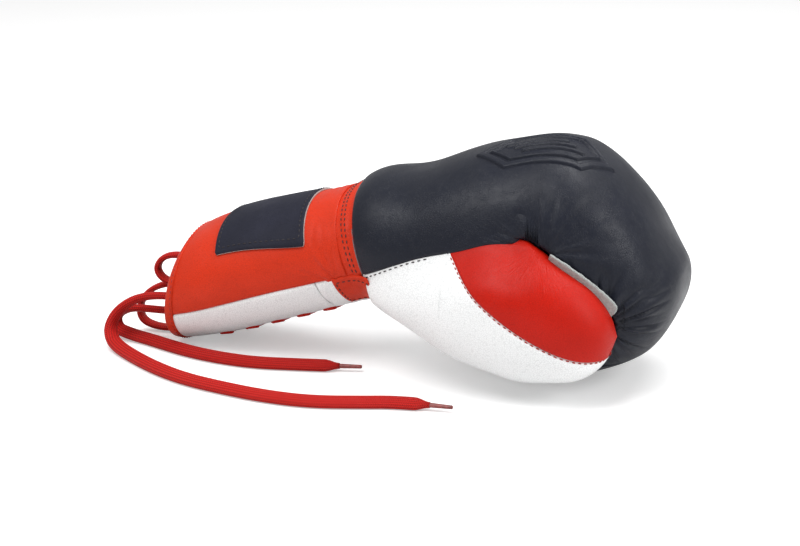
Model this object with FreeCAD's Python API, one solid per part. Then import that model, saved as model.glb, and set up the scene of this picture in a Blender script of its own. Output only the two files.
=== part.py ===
import FreeCAD, Part

import math
import os

# Lace-up boxing glove, left hand, lying palm down: 300 mm long, fist 124 mm wide and 134 mm high.
# +X runs from the cuff rim to the knuckles, -Y is the thumb side, +Z is the back of the hand.
# Station tables are written with x from the cuff rim; PLACE puts the middle of the glove at the origin.
# All lengths are in millimetres, all angles in degrees.

V = FreeCAD.Vector
PLACE = V(-149.0, 5.2, 0.0)

SKIN = 1.4              # leather panel
GAP = 0.2               # clearance between layers
CUFF_WALL = 7.2         # leather, foam and lining of the cuff
LINING = 0.8
PATCH = 1.1             # label patch on the cuff
RELIEF = 1.3            # raised relief over the knuckles
THUMB_GAP = 1.6         # between thumb and hand
PITCH = 17.0            # rise of the cuff from rim to wrist
RIM_LEAN = -8.0         # lean of the rim plane
WRIST_LEAN = 18.0       # lean of the wrist planes
CUFF_END_X = 114.5      # wrist end of the cuff, on its axis
HAND_START_X = 124.0    # wrist end of the hand, on its axis
WRIST = V(119.5, 0.0, 67.5)
AXIS0 = V(6.0, 0.0, 32.5)   # where the cuff axis meets the rim
SEAM_DROP = 10.0        # red to white seam, below the cuff axis
FLAP_END = 93.0         # end of the lacing slit, along the cuff axis
SLIT_HALF = 9.0
EYELET_Y = 17.0
EYELET_S = (19.0, 36.0, 53.0, 70.0, 87.0)
EYELET_R = 4.2
HOLE_R = 2.3
BINDING = 5.5           # width of the folded edge round the rim
LACE_D = 5.0            # a flat lace 8 mm wide, as a round cord of the same section
AGLET_R = 1.3
AGLET_LENGTH = 13.0

# One ring of a tapered body: centre x, y, z; lean; half height; half width on the thumb side and on
# the outer side; exponent of the superellipse (2 is an ellipse, more is squarer).
CUFF = [
    (6, 0, 32.2, RIM_LEAN, 33.0, 44, 44, 2.1), (20, 0, 36.5, 4, 33.5, 46, 46, 2.1),
    (60, 0, 50.0, 17, 34.0, 46, 46, 2.1), (95, 0, 60.5, 17, 33.0, 43, 43, 2.1),
    (121, 0, 69.0, 18, 32.5, 43.5, 43.5, 2.1)]
HAND = [
    (117, 0, 67.0, 18, 32.5, 43.5, 43.5, 2.1), (130, 0, 71.0, 13, 39.0, 50, 50, 2.2),
    (156, 2, 69.0, 3, 48.0, 56, 56, 2.3), (190, 4, 67.5, 3, 61.5, 60, 60, 2.4),
    (208, 5, 67.3, 2, 65.3, 61, 61, 2.4), (226, 6, 66.3, 1, 67.8, 61, 61, 2.4), (255, 8, 65.5, 1, 60.5, 58, 58, 2.4),
    (278.5, 9, 62.5, 2, 45.5, 51, 51, 2.3), (292, 9, 60, 2, 24, 37, 37, 2.2),
    (298, 9, 61, 0, 10, 18, 18, 2.1), (299, 9, 61, 0, 2.2, 3, 3, 2)]
POCKET = [
    (115, 2, 67.0, 18, 25.0, 35, 36, 2.1), (130, 5, 69, 13, 27, 34, 38, 2.1),
    (156, 11, 72, 3, 30, 36, 40, 2.2), (192, 14, 69, 0, 35, 37, 38, 2.2),
    (226, 15, 66, 0, 35, 36, 38, 2.3), (248, 15, 62, 0, 28, 32, 34, 2.2),
    (258, 15, 61, 0, 13, 18, 18, 2.1), (261, 15, 61, 0, 1.5, 2, 2, 2)]
THUMB = [
    (119, -36, 52, 0, 5, 6, 4, 2), (135, -40, 53, 0, 12, 12.5, 7, 2),
    (155, -43, 52.5, 0, 20.5, 18, 9, 2.1), (178, -46, 51.5, 0, 30.5, 24, 11, 2.1),
    (203, -49, 51.5, 0, 37, 26.5, 12, 2.2), (222, -50.5, 50, 0, 39, 27, 13, 2.2),
    (239, -51, 45.5, 0, 33, 25, 13, 2.2), (255, -51, 41.5, -2, 26, 21, 12, 2.1),
    (267.5, -50, 40.5, 0, 13.5, 12, 8, 2), (272, -49, 40.5, 0, 1.5, 1.2, 1.2, 2)]
THUMB_POCKET = [
    (140, -43, 54, 0, 8, 5, 5, 2), (155, -46, 54, 0, 14, 8, 7, 2), (177, -50, 53, 0, 19, 11, 8, 2),
    (203, -54, 50, 0, 21, 13, 9, 2), (230, -55, 45, 0, 19, 12, 9, 2), (246, -54, 42.5, 0, 13, 9, 7, 2),
    (253, -53, 42, 0, 1.5, 1.2, 1.2, 2)]

# Seam between the navy back and the white palm, as (x, z) on the thumb side and on the outer side.
THUMB_SIDE_SEAM = [(100, 46), (127, 59), (152, 71), (175, 80), (198, 86), (216, 82), (222, 20)]
OUTER_SIDE_SEAM = [(100, 46), (127, 57), (155, 52), (190, 38), (210, 29), (222, 20)]
CREASE = V(222, 0, 20)          # deepest line of the fold between fingers and palm
CREASE_HALF = 13.0
ROLL_SEAM_Z = 14.0              # seam under the fingers
# Seam between the red top and the white side of the thumb, as (x, z).
THUMB_SEAM = [(170, 94), (179, 82), (189, 71), (200, 61), (212, 52.5), (226, 44), (240, 36.5), (254, 31),
              (280, 27)]

RELIEF_CENTRE = (221.0, -7.0)
RELIEF_SIZE = (78.0, 52.0)
RELIEF_BAR = 4.6


def at(x, y, z):
    return V(x, y, z) + PLACE


def signed_power(value, power):
    return math.copysign(abs(value) ** power, value)


def ring(station, grow=0.0, outward=0.0):
    """Closed superellipse in a leaning plane across the body."""
    x, y, z, lean, height, inner, outer, power = station
    height, inner, outer = (max(size + grow, 0.8) for size in (height, inner, outer))
    inner += outward
    s, c = math.sin(math.radians(lean)), math.cos(math.radians(lean))
    points = []
    for i in range(40):
        a = 2 * math.pi * i / 40
        across = signed_power(math.cos(a), 2 / power) * (outer if math.cos(a) > 0 else inner)
        up = signed_power(math.sin(a), 2 / power) * height
        points.append(at(x - up * s, y + across, z + up * c))
    curve = Part.BSplineCurve()
    curve.interpolate(points, PeriodicFlag=True)
    return Part.Wire(curve.toShape())


def body(table, grow=0.0, front=0.0, back=0.0, outward=0.0):
    """Solid through the rings. grow widens every ring; front and back move the two ends outwards."""
    first, last = table[0][0], table[-1][0]
    rings = []
    for station in table:
        share = (station[0] - first) / (last - first)
        shift = front * share ** 4 - back * (1 - share) ** 4
        rings.append(ring((station[0] + shift,) + tuple(station[1:]), grow, outward))
    return Part.makeLoft(rings, True, False)


def capped(table, grow, **more):
    """Body with a rounded front: the front end moves with the walls."""
    return body(table, grow, front=grow, **more)


def prism(outline, y0, y1):
    """Upright outline of (x, z) points carried from y0 to y1."""
    points = [at(x, y0, z) for x, z in outline]
    return Part.Face(Part.makePolygon(points + points[:1])).extrude(V(0, y1 - y0, 0))


def tilted(point, lean, x0, x1, y0, y1, z0, z1):
    """Box with x0..x1 measured from point along a direction that leans by the angle."""
    box = Part.makeBox(x1 - x0, y1 - y0, z1 - z0, V(x0, y0, z0))
    box.rotate(V(0, 0, 0), V(0, 1, 0), -lean)
    box.translate(at(point.x, 0, point.z))
    return box


def along_cuff(s0, s1, y0=-80, y1=80, z0=-80, z1=80):
    return tilted(AXIS0, PITCH, s0, s1, y0, y1, z0, z1)


def behind_wrist(x):
    return tilted(V(x, 0, WRIST.z), WRIST_LEAN, -200, 0, -100, 100, -120, 120)


def one(shape):
    """Largest solid of a result."""
    return max(shape.Solids, key=lambda solid: solid.Volume)


def group(solids):
    return Part.makeCompound([s for shape in solids for s in shape.Solids])


def save(name, shape, keep_all=False):
    shape = group([shape]) if keep_all else one(shape)
    shape.exportStep("parts/%s.step" % name)
    box = shape.optimalBoundingBox(True, False)
    print("%-24s %8.0f mm3 valid %s solids %d  x %.1f %.1f y %.1f %.1f z %.1f %.1f" % (
        name, shape.Volume, shape.isValid(), len(shape.Solids),
        box.XMin, box.XMax, box.YMin, box.YMax, box.ZMin, box.ZMax), flush=True)
    return shape


FLOOR = Part.makeBox(600, 400, 60, V(-300, -200, -60))


# ---------------------------------------------------------------- hand
def crease(grow):
    """Fold across the underside, between the rolled fingers and the palm."""
    half = CREASE_HALF + grow * 1.6
    return prism([(CREASE.x - half, -8), (CREASE.x - 1.5 - grow, CREASE.z + grow), (CREASE.x + 1.5 + grow,
                 CREASE.z + grow), (CREASE.x + half, -8)], -120, 120)


def thumb_room(grow):
    """Space that the thumb takes out of the hand, open towards the thumb side."""
    return body(THUMB, THUMB_GAP + grow, front=THUMB_GAP + grow, back=THUMB_GAP + grow, outward=30)


def hand(inset):
    shape = capped(HAND, -inset).cut(crease(inset)).cut(thumb_room(inset))
    floor = FLOOR.copy()
    floor.translate(V(0, 0, inset))
    return one(shape.cut(floor))


def slice_below(height):
    return Part.makeBox(200, 300, height + 20, at(150, -150, -20))


def palm_side(shift):
    """Region of the palm panel, below the two seams."""
    def half(seam, y0, y1):
        outline = [(x + shift, z + shift) for x, z in seam]
        return prism(outline + [(outline[-1][0], -40), (outline[0][0], -40)], y0, y1)
    return half(THUMB_SIDE_SEAM, -150, 0).fuse(half(OUTER_SIDE_SEAM, 0, 150))


def make_hand():
    wrist_cut = behind_wrist(HAND_START_X)
    passage = prism([(149, 44), (149, 64), (174, 66), (174, 42)], -60, -10)
    pocket = capped(POCKET, 0)
    lining_out = capped(POCKET, LINING)
    lining_cut = capped(POCKET, LINING + GAP)
    outer, inner, foam = hand(0), hand(SKIN), hand(SKIN + GAP)
    below, above = palm_side(-GAP / 2), palm_side(GAP / 2)

    skin = one(outer.cut(inner)).cut(passage).cut(lining_cut).cut(wrist_cut)
    navy = skin.cut(above)
    save("knuckle_shell", navy.cut(slice_below(ROLL_SEAM_Z + GAP / 2)))
    save("finger_roll_panel", navy.common(slice_below(ROLL_SEAM_Z - GAP / 2)))
    save("palm_panel", skin.common(below))
    pad = foam.cut(lining_cut).cut(passage).cut(wrist_cut)
    save("knuckle_pad", pad.cut(above))
    save("palm_pad", pad.common(below))
    save("hand_lining", lining_out.cut(pocket).cut(passage).cut(behind_wrist(HAND_START_X - 1)))
    bar = Part.makeCylinder(6.5, 70, at(186, -14, 45.5), V(0, 1, 0))
    save("grip_bar", bar.common(capped(POCKET, -0.3)))

    cx, cy = RELIEF_CENTRE
    length, width = RELIEF_SIZE

    def stadium(grow, z0, z1):
        half, r = length / 2 + grow, width / 2 + grow
        flat = half - r
        arc = [Part.Arc(at(cx + flat, cy - r, z0), at(cx + flat + r, cy, z0), at(cx + flat, cy + r, z0)),
               Part.LineSegment(at(cx + flat, cy + r, z0), at(cx - flat, cy + r, z0)),
               Part.Arc(at(cx - flat, cy + r, z0), at(cx - flat - r, cy, z0), at(cx - flat, cy - r, z0)),
               Part.LineSegment(at(cx - flat, cy - r, z0), at(cx + flat, cy - r, z0))]
        return Part.Face(Part.Wire([a.toShape() for a in arc])).extrude(V(0, 0, z1 - z0))

    raised = capped(HAND, RELIEF).cut(capped(HAND, 0.05))
    frame = stadium(0, 90, 160).cut(stadium(-RELIEF_BAR, 80, 170))
    ribs = [Part.makeBox(length - 44, RELIEF_BAR, 70, at(cx - length / 2 + 22, cy + offset, 90))
            for offset in (-13.5, -RELIEF_BAR / 2, 13.5 - RELIEF_BAR)]
    save("knuckle_relief", group([raised.common(piece) for piece in [frame] + ribs]), True)

    band = cuff(0.2).cut(cuff(-CUFF_WALL + 0.6)).cut(behind_wrist(CUFF_END_X + 0.4))
    save("wrist_band", band.common(behind_wrist(HAND_START_X - 0.4)))
    tab = cuff(1.5).cut(cuff(0.5)).common(along_cuff(106, 140, -70, -30, -27, -13))
    save("wrist_tab", tab.common(behind_wrist(HAND_START_X - 0.4)))


# ---------------------------------------------------------------- thumb
def thumb_top(shift):
    outline = [(x + shift, z + shift) for x, z in THUMB_SEAM]
    return prism([(150, 140)] + outline + [(300, 20), (300, 140)], -140, 40)


def make_thumb():
    thumb_skin, foam = body(THUMB), body(THUMB, -SKIN - GAP, front=-SKIN - GAP, back=-SKIN - GAP)
    inner = body(THUMB, -SKIN, front=-SKIN, back=-SKIN)
    pocket, lining = capped(THUMB_POCKET, 0), body(THUMB_POCKET, LINING, front=LINING, back=LINING)
    lining_cut = body(THUMB_POCKET, LINING + GAP, front=LINING + GAP, back=LINING + GAP)
    passage = prism([(151, 45), (151, 63), (172, 65), (172, 43)], -46, -10)
    wrist_cut = behind_wrist(HAND_START_X + 0.5)
    skin = one(thumb_skin.cut(inner)).cut(passage).cut(wrist_cut)
    save("thumb_side_panel", skin.cut(thumb_top(-GAP / 2)))
    save("thumb_top_panel", skin.common(thumb_top(GAP / 2)))
    save("thumb_pad", foam.cut(lining_cut).cut(passage).cut(wrist_cut))
    save("thumb_lining", lining.cut(pocket).cut(passage))

    lock = body(THUMB, 1.1, front=1.1, back=1.1).cut(body(THUMB, 0.4, front=0.4, back=0.4))
    strip = prism([(232, 72), (246, 71), (262, 59), (272, 46), (280, 56), (268, 72), (250, 84), (236, 88)],
                  -66, -30)
    save("thumb_lock_strap", lock.common(strip))


# ---------------------------------------------------------------- cuff
def rim_slab(depth0, depth1):
    return tilted(AXIS0, RIM_LEAN, depth0, depth1, -100, 100, -120, 120)


def cuff(grow):
    return body(CUFF, grow, back=4)


def wall(outer_inset, inner_inset):
    floor = FLOOR.copy()
    floor.translate(V(0, 0, max(outer_inset, 0)))
    shell = cuff(-outer_inset).cut(cuff(-inner_inset)).cut(floor).cut(rim_slab(-40, 0))
    return shell.common(behind_wrist(CUFF_END_X))


def surface_point(s, y):
    """Point of the cuff's outer surface on the underside, at s along the axis."""
    along = V(math.cos(math.radians(PITCH)), 0, math.sin(math.radians(PITCH)))
    down = V(math.sin(math.radians(PITCH)), 0, -math.cos(math.radians(PITCH)))
    start = AXIS0 + along * s + V(0, y, 0) + PLACE
    line = Part.makeLine(start, start + down * 60)
    skin = cuff(0).Shells[0]
    return line.distToShape(skin)[1][0][0], down


def make_cuff():
    skin, foam = wall(0, SKIN), wall(SKIN + GAP, CUFF_WALL - LINING - GAP)
    lining = wall(CUFF_WALL - LINING, CUFF_WALL)
    edge = wall(-0.5, CUFF_WALL + 0.3).cut(rim_slab(BINDING - 0.2, 200))
    inside = rim_slab(BINDING, 200)
    upper = along_cuff(-30, 160, z0=-SEAM_DROP + 0.15)
    lower = along_cuff(-30, 160, z1=-SEAM_DROP - 0.15)
    gusset = along_cuff(FLAP_END + 0.6, 160, z1=-SEAM_DROP - 0.15)
    sides = (("thumb_side", -80, -SLIT_HALF, -1), ("outer_side", SLIT_HALF, 80, 1))

    save("cuff_back_panel", skin.common(inside).common(upper))
    save("cuff_back_pad", foam.common(inside).common(upper))
    save("cuff_lining", lining.common(inside).common(upper))
    save("cuff_binding", edge.common(rim_slab(-20, BINDING)).common(upper))
    save("cuff_gusset", wall(0, CUFF_WALL).common(gusset))

    label = cuff(PATCH).cut(cuff(0.1))
    save("label_patch", label.common(along_cuff(39, 94, -40.5, 30, 5, 80)))

    tongue = wall(CUFF_WALL + 1.1, CUFF_WALL + 3.9).common(along_cuff(-30, 160, -24, 24, -80, -8))
    save("tongue", tongue.common(rim_slab(1.5, 200)))

    eyelets = [(s, side) for s in EYELET_S for side in (-1, 1)]
    spots = {(s, side): surface_point(s, side * EYELET_Y) for s, side in eyelets}
    for name, y0, y1, side in sides:
        region = along_cuff(-30, FLAP_END, y0, y1, -80, -SEAM_DROP - 0.15)
        holes = [Part.makeCylinder(HOLE_R + 0.1, 30, spots[s, side][0] - spots[s, side][1] * 15,
                                   spots[s, side][1]) for s in EYELET_S]
        seats = [Part.makeCylinder(EYELET_R + 0.15, 14, spots[s, side][0] - spots[s, side][1] * 12,
                                   spots[s, side][1]) for s in EYELET_S]
        save("flap_panel_" + name, skin.common(inside).common(region).cut(group(seats)))
        stuffing = wall(SKIN + GAP, CUFF_WALL).common(inside).common(region)
        save("flap_pad_" + name, stuffing.cut(group(seats)))
        save("flap_binding_" + name, edge.common(rim_slab(-20, BINDING)).common(region))
        rings = []
        for s in EYELET_S:
            point, down = spots[s, side]
            tube = Part.makeCylinder(EYELET_R, CUFF_WALL - 0.8, point - down * (CUFF_WALL - 1.2), down)
            rings.append(tube.cut(Part.makeCylinder(HOLE_R, 30, point - down * 15, down)))
        save("eyelets_" + name, group(rings), True)

    strip = cuff(2.6).cut(cuff(0.5))
    reach = EYELET_Y - EYELET_R - 0.4
    rungs = [strip.common(along_cuff(s - 3.5, s + 3.5, -reach, reach, -80, -8)) for s in EYELET_S]
    save("lace_crossings", group(rungs).cut(FLOOR), True)


# ---------------------------------------------------------------- laces
def cord(name, points, diameter=LACE_D):
    """Round cord: straight runs joined by the largest tangent arcs that fit."""
    p = [at(*point) for point in points]
    edges, start, length, radii = [], p[0], 0.0, []
    for before, corner, after in zip(p, p[1:], p[2:]):
        u, w = before - corner, after - corner
        turn = math.pi - u.getAngle(w)
        radius = 0.45 * min(u.Length, w.Length) / math.tan(turn / 2)
        trim = radius * math.tan(turn / 2)
        a, b = corner + V(u).normalize() * trim, corner + V(w).normalize() * trim
        bisector = (V(u).normalize() + V(w).normalize()).normalize()
        middle = corner + bisector * (radius / math.cos(turn / 2) - radius)
        edges += [Part.LineSegment(start, a).toShape(), Part.Arc(a, middle, b).toShape()]
        length += (a - start).Length + radius * turn
        radii.append(radius)
        start = b
    edges.append(Part.LineSegment(start, p[-1]).toShape())
    length += (p[-1] - start).Length
    path = Part.Wire(edges)
    section = Part.Wire(Part.Circle(p[0], p[1] - p[0], diameter / 2).toShape())
    tube = path.makePipeShell([section], True, False)
    area = math.pi * diameter ** 2 / 4
    print("%s length %.1f radii %s volume ratio %.4f" % (
        name, length, " ".join("%.0f" % r for r in radii), tube.Volume / (area * length)))
    save(name, tube)
    return p[-1], (p[-1] - p[-2]).normalize()


def aglet(name, end, direction):
    save(name, Part.makeCylinder(AGLET_R, AGLET_LENGTH, end, direction))


LONG_LACE = [
    (16, -30, 31), (0, -30, 31.5), (-16, -31, 29), (-28, -34, 21), (-32, -39, 10.5), (-24, -48, 3.5),
    (-8, -60, 2.5), (12, -74, 2.5), (35, -86, 2.5), (60, -93, 2.5), (88, -98.5, 2.5), (115, -99, 2.5),
    (140, -92, 2.5), (162, -84.5, 2.5), (179, -84, 2.5)]
SHORT_LACE = [
    (13, -20, 20), (-1, -20, 18.5), (-16, -20, 18.5), (-28, -20.5, 18), (-36, -22, 13), (-34, -24, 5.5),
    (-24, -26.5, 3), (-10, -30.5, 2.5), (5, -37, 2.5), (22, -43.5, 2.5), (42, -48, 2.5), (64, -49.5, 2.5), (88, -45, 2.5),
    (112, -40, 2.5)]
UPPER_LOOP = [
    (19, -12, 49), (5, -12, 51.5), (-7, -12.5, 50), (-12.5, -13, 42.5), (-8, -13.5, 35.5), (4, -14, 33.5),
    (16, -14, 34)]
LOWER_LOOP = [
    (16, -7, 31), (2, -7, 32), (-11, -7, 30.5), (-21, -7, 25), (-27, -7, 16), (-26, -6.5, 6.5),
    (-16, -6, 2.8), (-3, -5, 3), (9, -4, 4)]


def make_laces():
    aglet("aglet_long", *cord("lace_end_long", LONG_LACE))
    aglet("aglet_short", *cord("lace_end_short", SHORT_LACE))
    cord("lace_loop_upper", UPPER_LOOP)
    cord("lace_loop_lower", LOWER_LOOP)


if __name__ == "__main__":
    os.makedirs("parts", exist_ok=True)
    make_hand()
    make_thumb()
    make_cuff()
    make_laces()
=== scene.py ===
"""Laced boxing glove lying on its palm: padded leather fist, thumb, stiff cuff with a lacing slit, and its laces.

Shapes are worked out in millimetres from the cuff's rim, with x along the glove, y across it and z up.
PLACE moves them to the frame's own origin, and every mesh is written in metres.
"""

import bmesh
import bpy
import numpy as np
from bpy.props import FloatProperty, FloatVectorProperty, IntProperty, PointerProperty
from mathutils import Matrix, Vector


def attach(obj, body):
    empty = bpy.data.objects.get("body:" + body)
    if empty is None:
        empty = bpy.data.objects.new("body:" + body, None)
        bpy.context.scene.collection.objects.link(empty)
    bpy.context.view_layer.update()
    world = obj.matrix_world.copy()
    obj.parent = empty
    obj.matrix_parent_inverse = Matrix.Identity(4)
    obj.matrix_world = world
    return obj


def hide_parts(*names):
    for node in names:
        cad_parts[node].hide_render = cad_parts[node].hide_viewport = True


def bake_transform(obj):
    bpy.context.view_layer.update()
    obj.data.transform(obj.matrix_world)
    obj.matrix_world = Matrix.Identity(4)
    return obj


bl_info = {
    "name": "Laced Boxing Glove",
    "version": (1, 0, 0),
    "blender": (4, 5, 0),
    "location": "3D View > Sidebar > Glove",
    "description": "Builds a laced boxing glove piece by piece over its packed frame",
    "category": "Add Mesh",
}

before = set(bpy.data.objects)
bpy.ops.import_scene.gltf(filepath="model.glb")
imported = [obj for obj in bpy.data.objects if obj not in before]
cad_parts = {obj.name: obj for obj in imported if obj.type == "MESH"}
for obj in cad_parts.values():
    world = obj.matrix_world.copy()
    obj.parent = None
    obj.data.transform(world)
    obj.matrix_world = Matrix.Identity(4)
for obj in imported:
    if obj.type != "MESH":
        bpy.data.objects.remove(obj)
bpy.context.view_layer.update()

PLACE = np.array([-149.0, 5.2, 0.0])
RIM_X = 6.0
AXIS_START = np.array([RIM_X, 0.0, 32.5])
PITCH = np.radians(17)
ALONG = np.array([np.cos(PITCH), 0, np.sin(PITCH)])

# Rings: centre x, y, z, lean in degrees, half height, half width on the thumb side and on the outer side, fullness
CUFF = [
    (6, 0, 32.2, -8, 33, 44, 44, 2.1), (20, 0, 36.5, 4, 33.5, 46, 46, 2.1), (60, 0, 50, 17, 34, 46, 46, 2.1),
    (95, 0, 60.5, 17, 33, 43, 43, 2.1), (121, 0, 69, 18, 32.5, 43.5, 43.5, 2.1)]
HAND = [
    (117, 0, 67, 18, 32.5, 43.5, 43.5, 2.1), (130, 0, 71, 13, 39, 50, 50, 2.2), (156, 2, 69, 3, 48, 56, 56, 2.3),
    (190, 4, 67.5, 3, 61.5, 60, 60, 2.4), (208, 5, 67.3, 2, 65.3, 61, 61, 2.4), (226, 6, 66.3, 1, 67.8, 61, 61, 2.4),
    (255, 8, 65.5, 1, 60.5, 58, 58, 2.4), (278.5, 9, 62.5, 2, 45.5, 51, 51, 2.3), (292, 9, 60, 2, 24, 37, 37, 2.2),
    (298, 9, 61, 0, 10, 18, 18, 2.1), (299, 9, 61, 0, 2.2, 3, 3, 2)]
WRIST = CUFF[:4] + [(119, 0, 68, 18, 32.5, 43.5, 43.5, 2.1)] + HAND[1:]
POCKET = [
    (115, 2, 67, 18, 25, 35, 36, 2.1), (130, 5, 69, 13, 27, 34, 38, 2.1), (156, 11, 72, 3, 30, 36, 40, 2.2),
    (192, 14, 69, 0, 35, 37, 38, 2.2), (226, 15, 66, 0, 35, 36, 38, 2.3), (248, 15, 62, 0, 28, 32, 34, 2.2),
    (258, 15, 61, 0, 13, 18, 18, 2.1), (261, 15, 61, 0, 1.5, 2, 2, 2)]
THUMB = [
    (119, -36, 52, 0, 5, 6, 4, 2), (135, -40, 53, 0, 12, 12.5, 7, 2), (155, -43, 52.5, 0, 20.5, 18, 9, 2.1),
    (178, -46, 51.5, 0, 30.5, 24, 11, 2.1), (203, -49, 51.5, 0, 37, 26.5, 12, 2.2),
    (222, -50.5, 50, 0, 39, 27, 13, 2.2),
    (239, -51, 45.5, 0, 33, 25, 13, 2.2), (255, -51, 41.5, -2, 26, 21, 12, 2.1), (267.5, -50, 40.5, 0, 13.5, 12, 8, 2),
    (272, -49, 40.5, 0, 1.5, 1.2, 1.2, 2)]
THUMB_POCKET = [
    (140, -43, 54, 0, 8, 5, 5, 2), (155, -46, 54, 0, 14, 8, 7, 2), (177, -50, 53, 0, 19, 11, 8, 2),
    (203, -54, 50, 0, 21, 13, 9, 2), (230, -55, 45, 0, 19, 12, 9, 2), (246, -54, 42.5, 0, 13, 9, 7, 2),
    (253, -53, 42, 0, 1.5, 1.2, 1.2, 2)]

# Seams as (x, z), seen from the side
THUMB_SIDE_SEAM = [(100, 47), (127, 59), (152, 71), (175, 79), (198, 84.5), (212, 86), (232, 86)]
OUTER_SIDE_SEAM = [(100, 46), (127, 57), (155, 52), (190, 38), (210, 29), (222, 20)]
THUMB_SEAM = [(170, 94), (179, 82), (189, 71), (200, 61), (212, 52.5), (226, 44), (240, 36.5), (254, 31), (280, 27)]
CREASE_X, CREASE_Z, CREASE_HALF = 222.0, 20.0, 13.0
ROLL_SEAM_Z = 14.0
THUMB_GAP = 1.6
HAND_START, CUFF_END, FLAP_END = 124.0, 114.5, 93.0
CUFF_WALL, SEAM_DROP, SLIT_HALF = 7.2, 10.0, 9.0
MEETING_X = 214.0  # where the thumb's upper seam ends against the fist
WRIST_LEAN = np.radians(18)
NEARLY_ROUND = 2 * np.pi - 0.03  # a panel wider than this angle goes all the way round
TURN_AT, TURN_LENGTH, TURN_ANGLE = 0.88, 0.12, 2 / 46  # the flap's edge turning in at the slit
SEAM_ROLL = 2.4  # width of the part that is drawn in beside a seam
LINING = 0.0006  # thickness of the lining, in metres
WELD = 0.00002  # points closer than this become one, in metres
EYELET_ALONG, EYELET_Y = np.array([19.0, 36.0, 53.0, 70.0, 87.0]), 17.0

# Routes of the laces, as control points
LONG_LACE = [
    (-0.133, -0.0248, 0.031), (-0.149, -0.0248, 0.0315), (-0.165, -0.0258, 0.029), (-0.177, -0.0288, 0.021),
    (-0.181, -0.0338, 0.0105), (-0.173, -0.0428, 0.0035), (-0.157, -0.0548, 0.0025), (-0.137, -0.0688, 0.0025),
    (-0.114, -0.0808, 0.0025), (-0.089, -0.0878, 0.0025), (-0.061, -0.0933, 0.0025), (-0.034, -0.0938, 0.0025),
    (-0.009, -0.0868, 0.0025), (0.013, -0.0793, 0.0025), (0.03, -0.0788, 0.0025)]
SHORT_LACE = [
    (-0.136, -0.0148, 0.02), (-0.15, -0.0148, 0.0185), (-0.165, -0.0148, 0.0185), (-0.177, -0.0153, 0.018),
    (-0.185, -0.0168, 0.013), (-0.183, -0.0188, 0.0055), (-0.173, -0.0213, 0.003), (-0.159, -0.0253, 0.0025),
    (-0.144, -0.0318, 0.0025), (-0.127, -0.0383, 0.0025), (-0.107, -0.0428, 0.0025), (-0.085, -0.0443, 0.0025),
    (-0.061, -0.0398, 0.0025), (-0.037, -0.0348, 0.0025)]
UPPER_LOOP = [
    (-0.13, -0.0068, 0.049), (-0.144, -0.0068, 0.0515), (-0.156, -0.0073, 0.05), (-0.1615, -0.0078, 0.0425),
    (-0.157, -0.0083, 0.0355), (-0.145, -0.0088, 0.0335), (-0.133, -0.0088, 0.034)]
LOWER_LOOP = [
    (-0.133, -0.0018, 0.031), (-0.147, -0.0018, 0.032), (-0.16, -0.0018, 0.0305), (-0.17, -0.0018, 0.025),
    (-0.176, -0.0018, 0.016), (-0.175, -0.0013, 0.0065), (-0.165, -0.0008, 0.0028), (-0.152, 0.0002, 0.003),
    (-0.14, 0.0012, 0.004)]


# ---------------------------------------------------------------- properties
def length_property(name, description, default):
    return FloatProperty(name=name, description=description, default=default, min=0.0, precision=5, unit="LENGTH")


def colour_property(name, description, default):
    return FloatVectorProperty(name=name, description=description, default=default, subtype="COLOR", size=3,
                               min=0.0, max=1.0)


class GloveSizes(bpy.types.PropertyGroup):
    leather: length_property("Leather", "Thickness of the leather panels", 0.0012)
    seam_depth: length_property("Seam depth", "How far a panel is drawn in at a seam", 0.0013)
    fold_depth: length_property("Fold depth", "Depth of the gathers beside the thumb", 0.0007)
    relief: length_property("Relief", "Height of the raised bars over the knuckles", 0.0013)
    binding: length_property("Binding", "Width of the folded edge round the cuff", 0.0055)
    patch: length_property("Patch", "Thickness of the patch on the cuff", 0.0012)
    lace_width: length_property("Lace width", "Width of the flat lace", 0.0085)
    lace_thickness: length_property("Lace thickness", "Thickness of the flat lace", 0.0044)
    stitch_pitch: length_property("Stitch pitch", "Distance from one stitch to the next", 0.0034)
    stitch_width: length_property("Stitch width", "Thickness of the sewing thread", 0.0007)


class GloveColours(bpy.types.PropertyGroup):
    navy: colour_property("Navy leather", "Back of the hand", (0.013, 0.015, 0.024))
    red: colour_property("Red leather", "Cuff and wrist", (0.62, 0.034, 0.009))
    thumb_red: colour_property("Thumb red", "Leather over the top of the thumb", (0.50, 0.010, 0.003))
    white: colour_property("White leather", "Palm, thumb side and flaps", (0.91, 0.92, 0.92))
    patch: colour_property("Patch leather", "Patch on the cuff", (0.016, 0.017, 0.030))
    strap: colour_property("Strap leather", "Split leather between thumb and fist", (0.36, 0.38, 0.37))
    raw_edge: colour_property("Raw edge", "Cut edge of thick leather", (0.42, 0.38, 0.36))
    lace: colour_property("Lace", "Braided lace", (0.60, 0.016, 0.012))
    aglet: colour_property("Lace tip", "Shrunk sleeve on a lace's end", (0.25, 0.055, 0.05))
    lining: colour_property("Lining", "Woven lining", (0.55, 0.55, 0.53))
    foam: colour_property("Foam", "Padding", (0.16, 0.16, 0.17))
    thread: colour_property("Thread", "Dark sewing thread", (0.018, 0.012, 0.014))
    red_thread: colour_property("Red thread", "Sewing thread of the red panels", (0.36, 0.015, 0.008))


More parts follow.
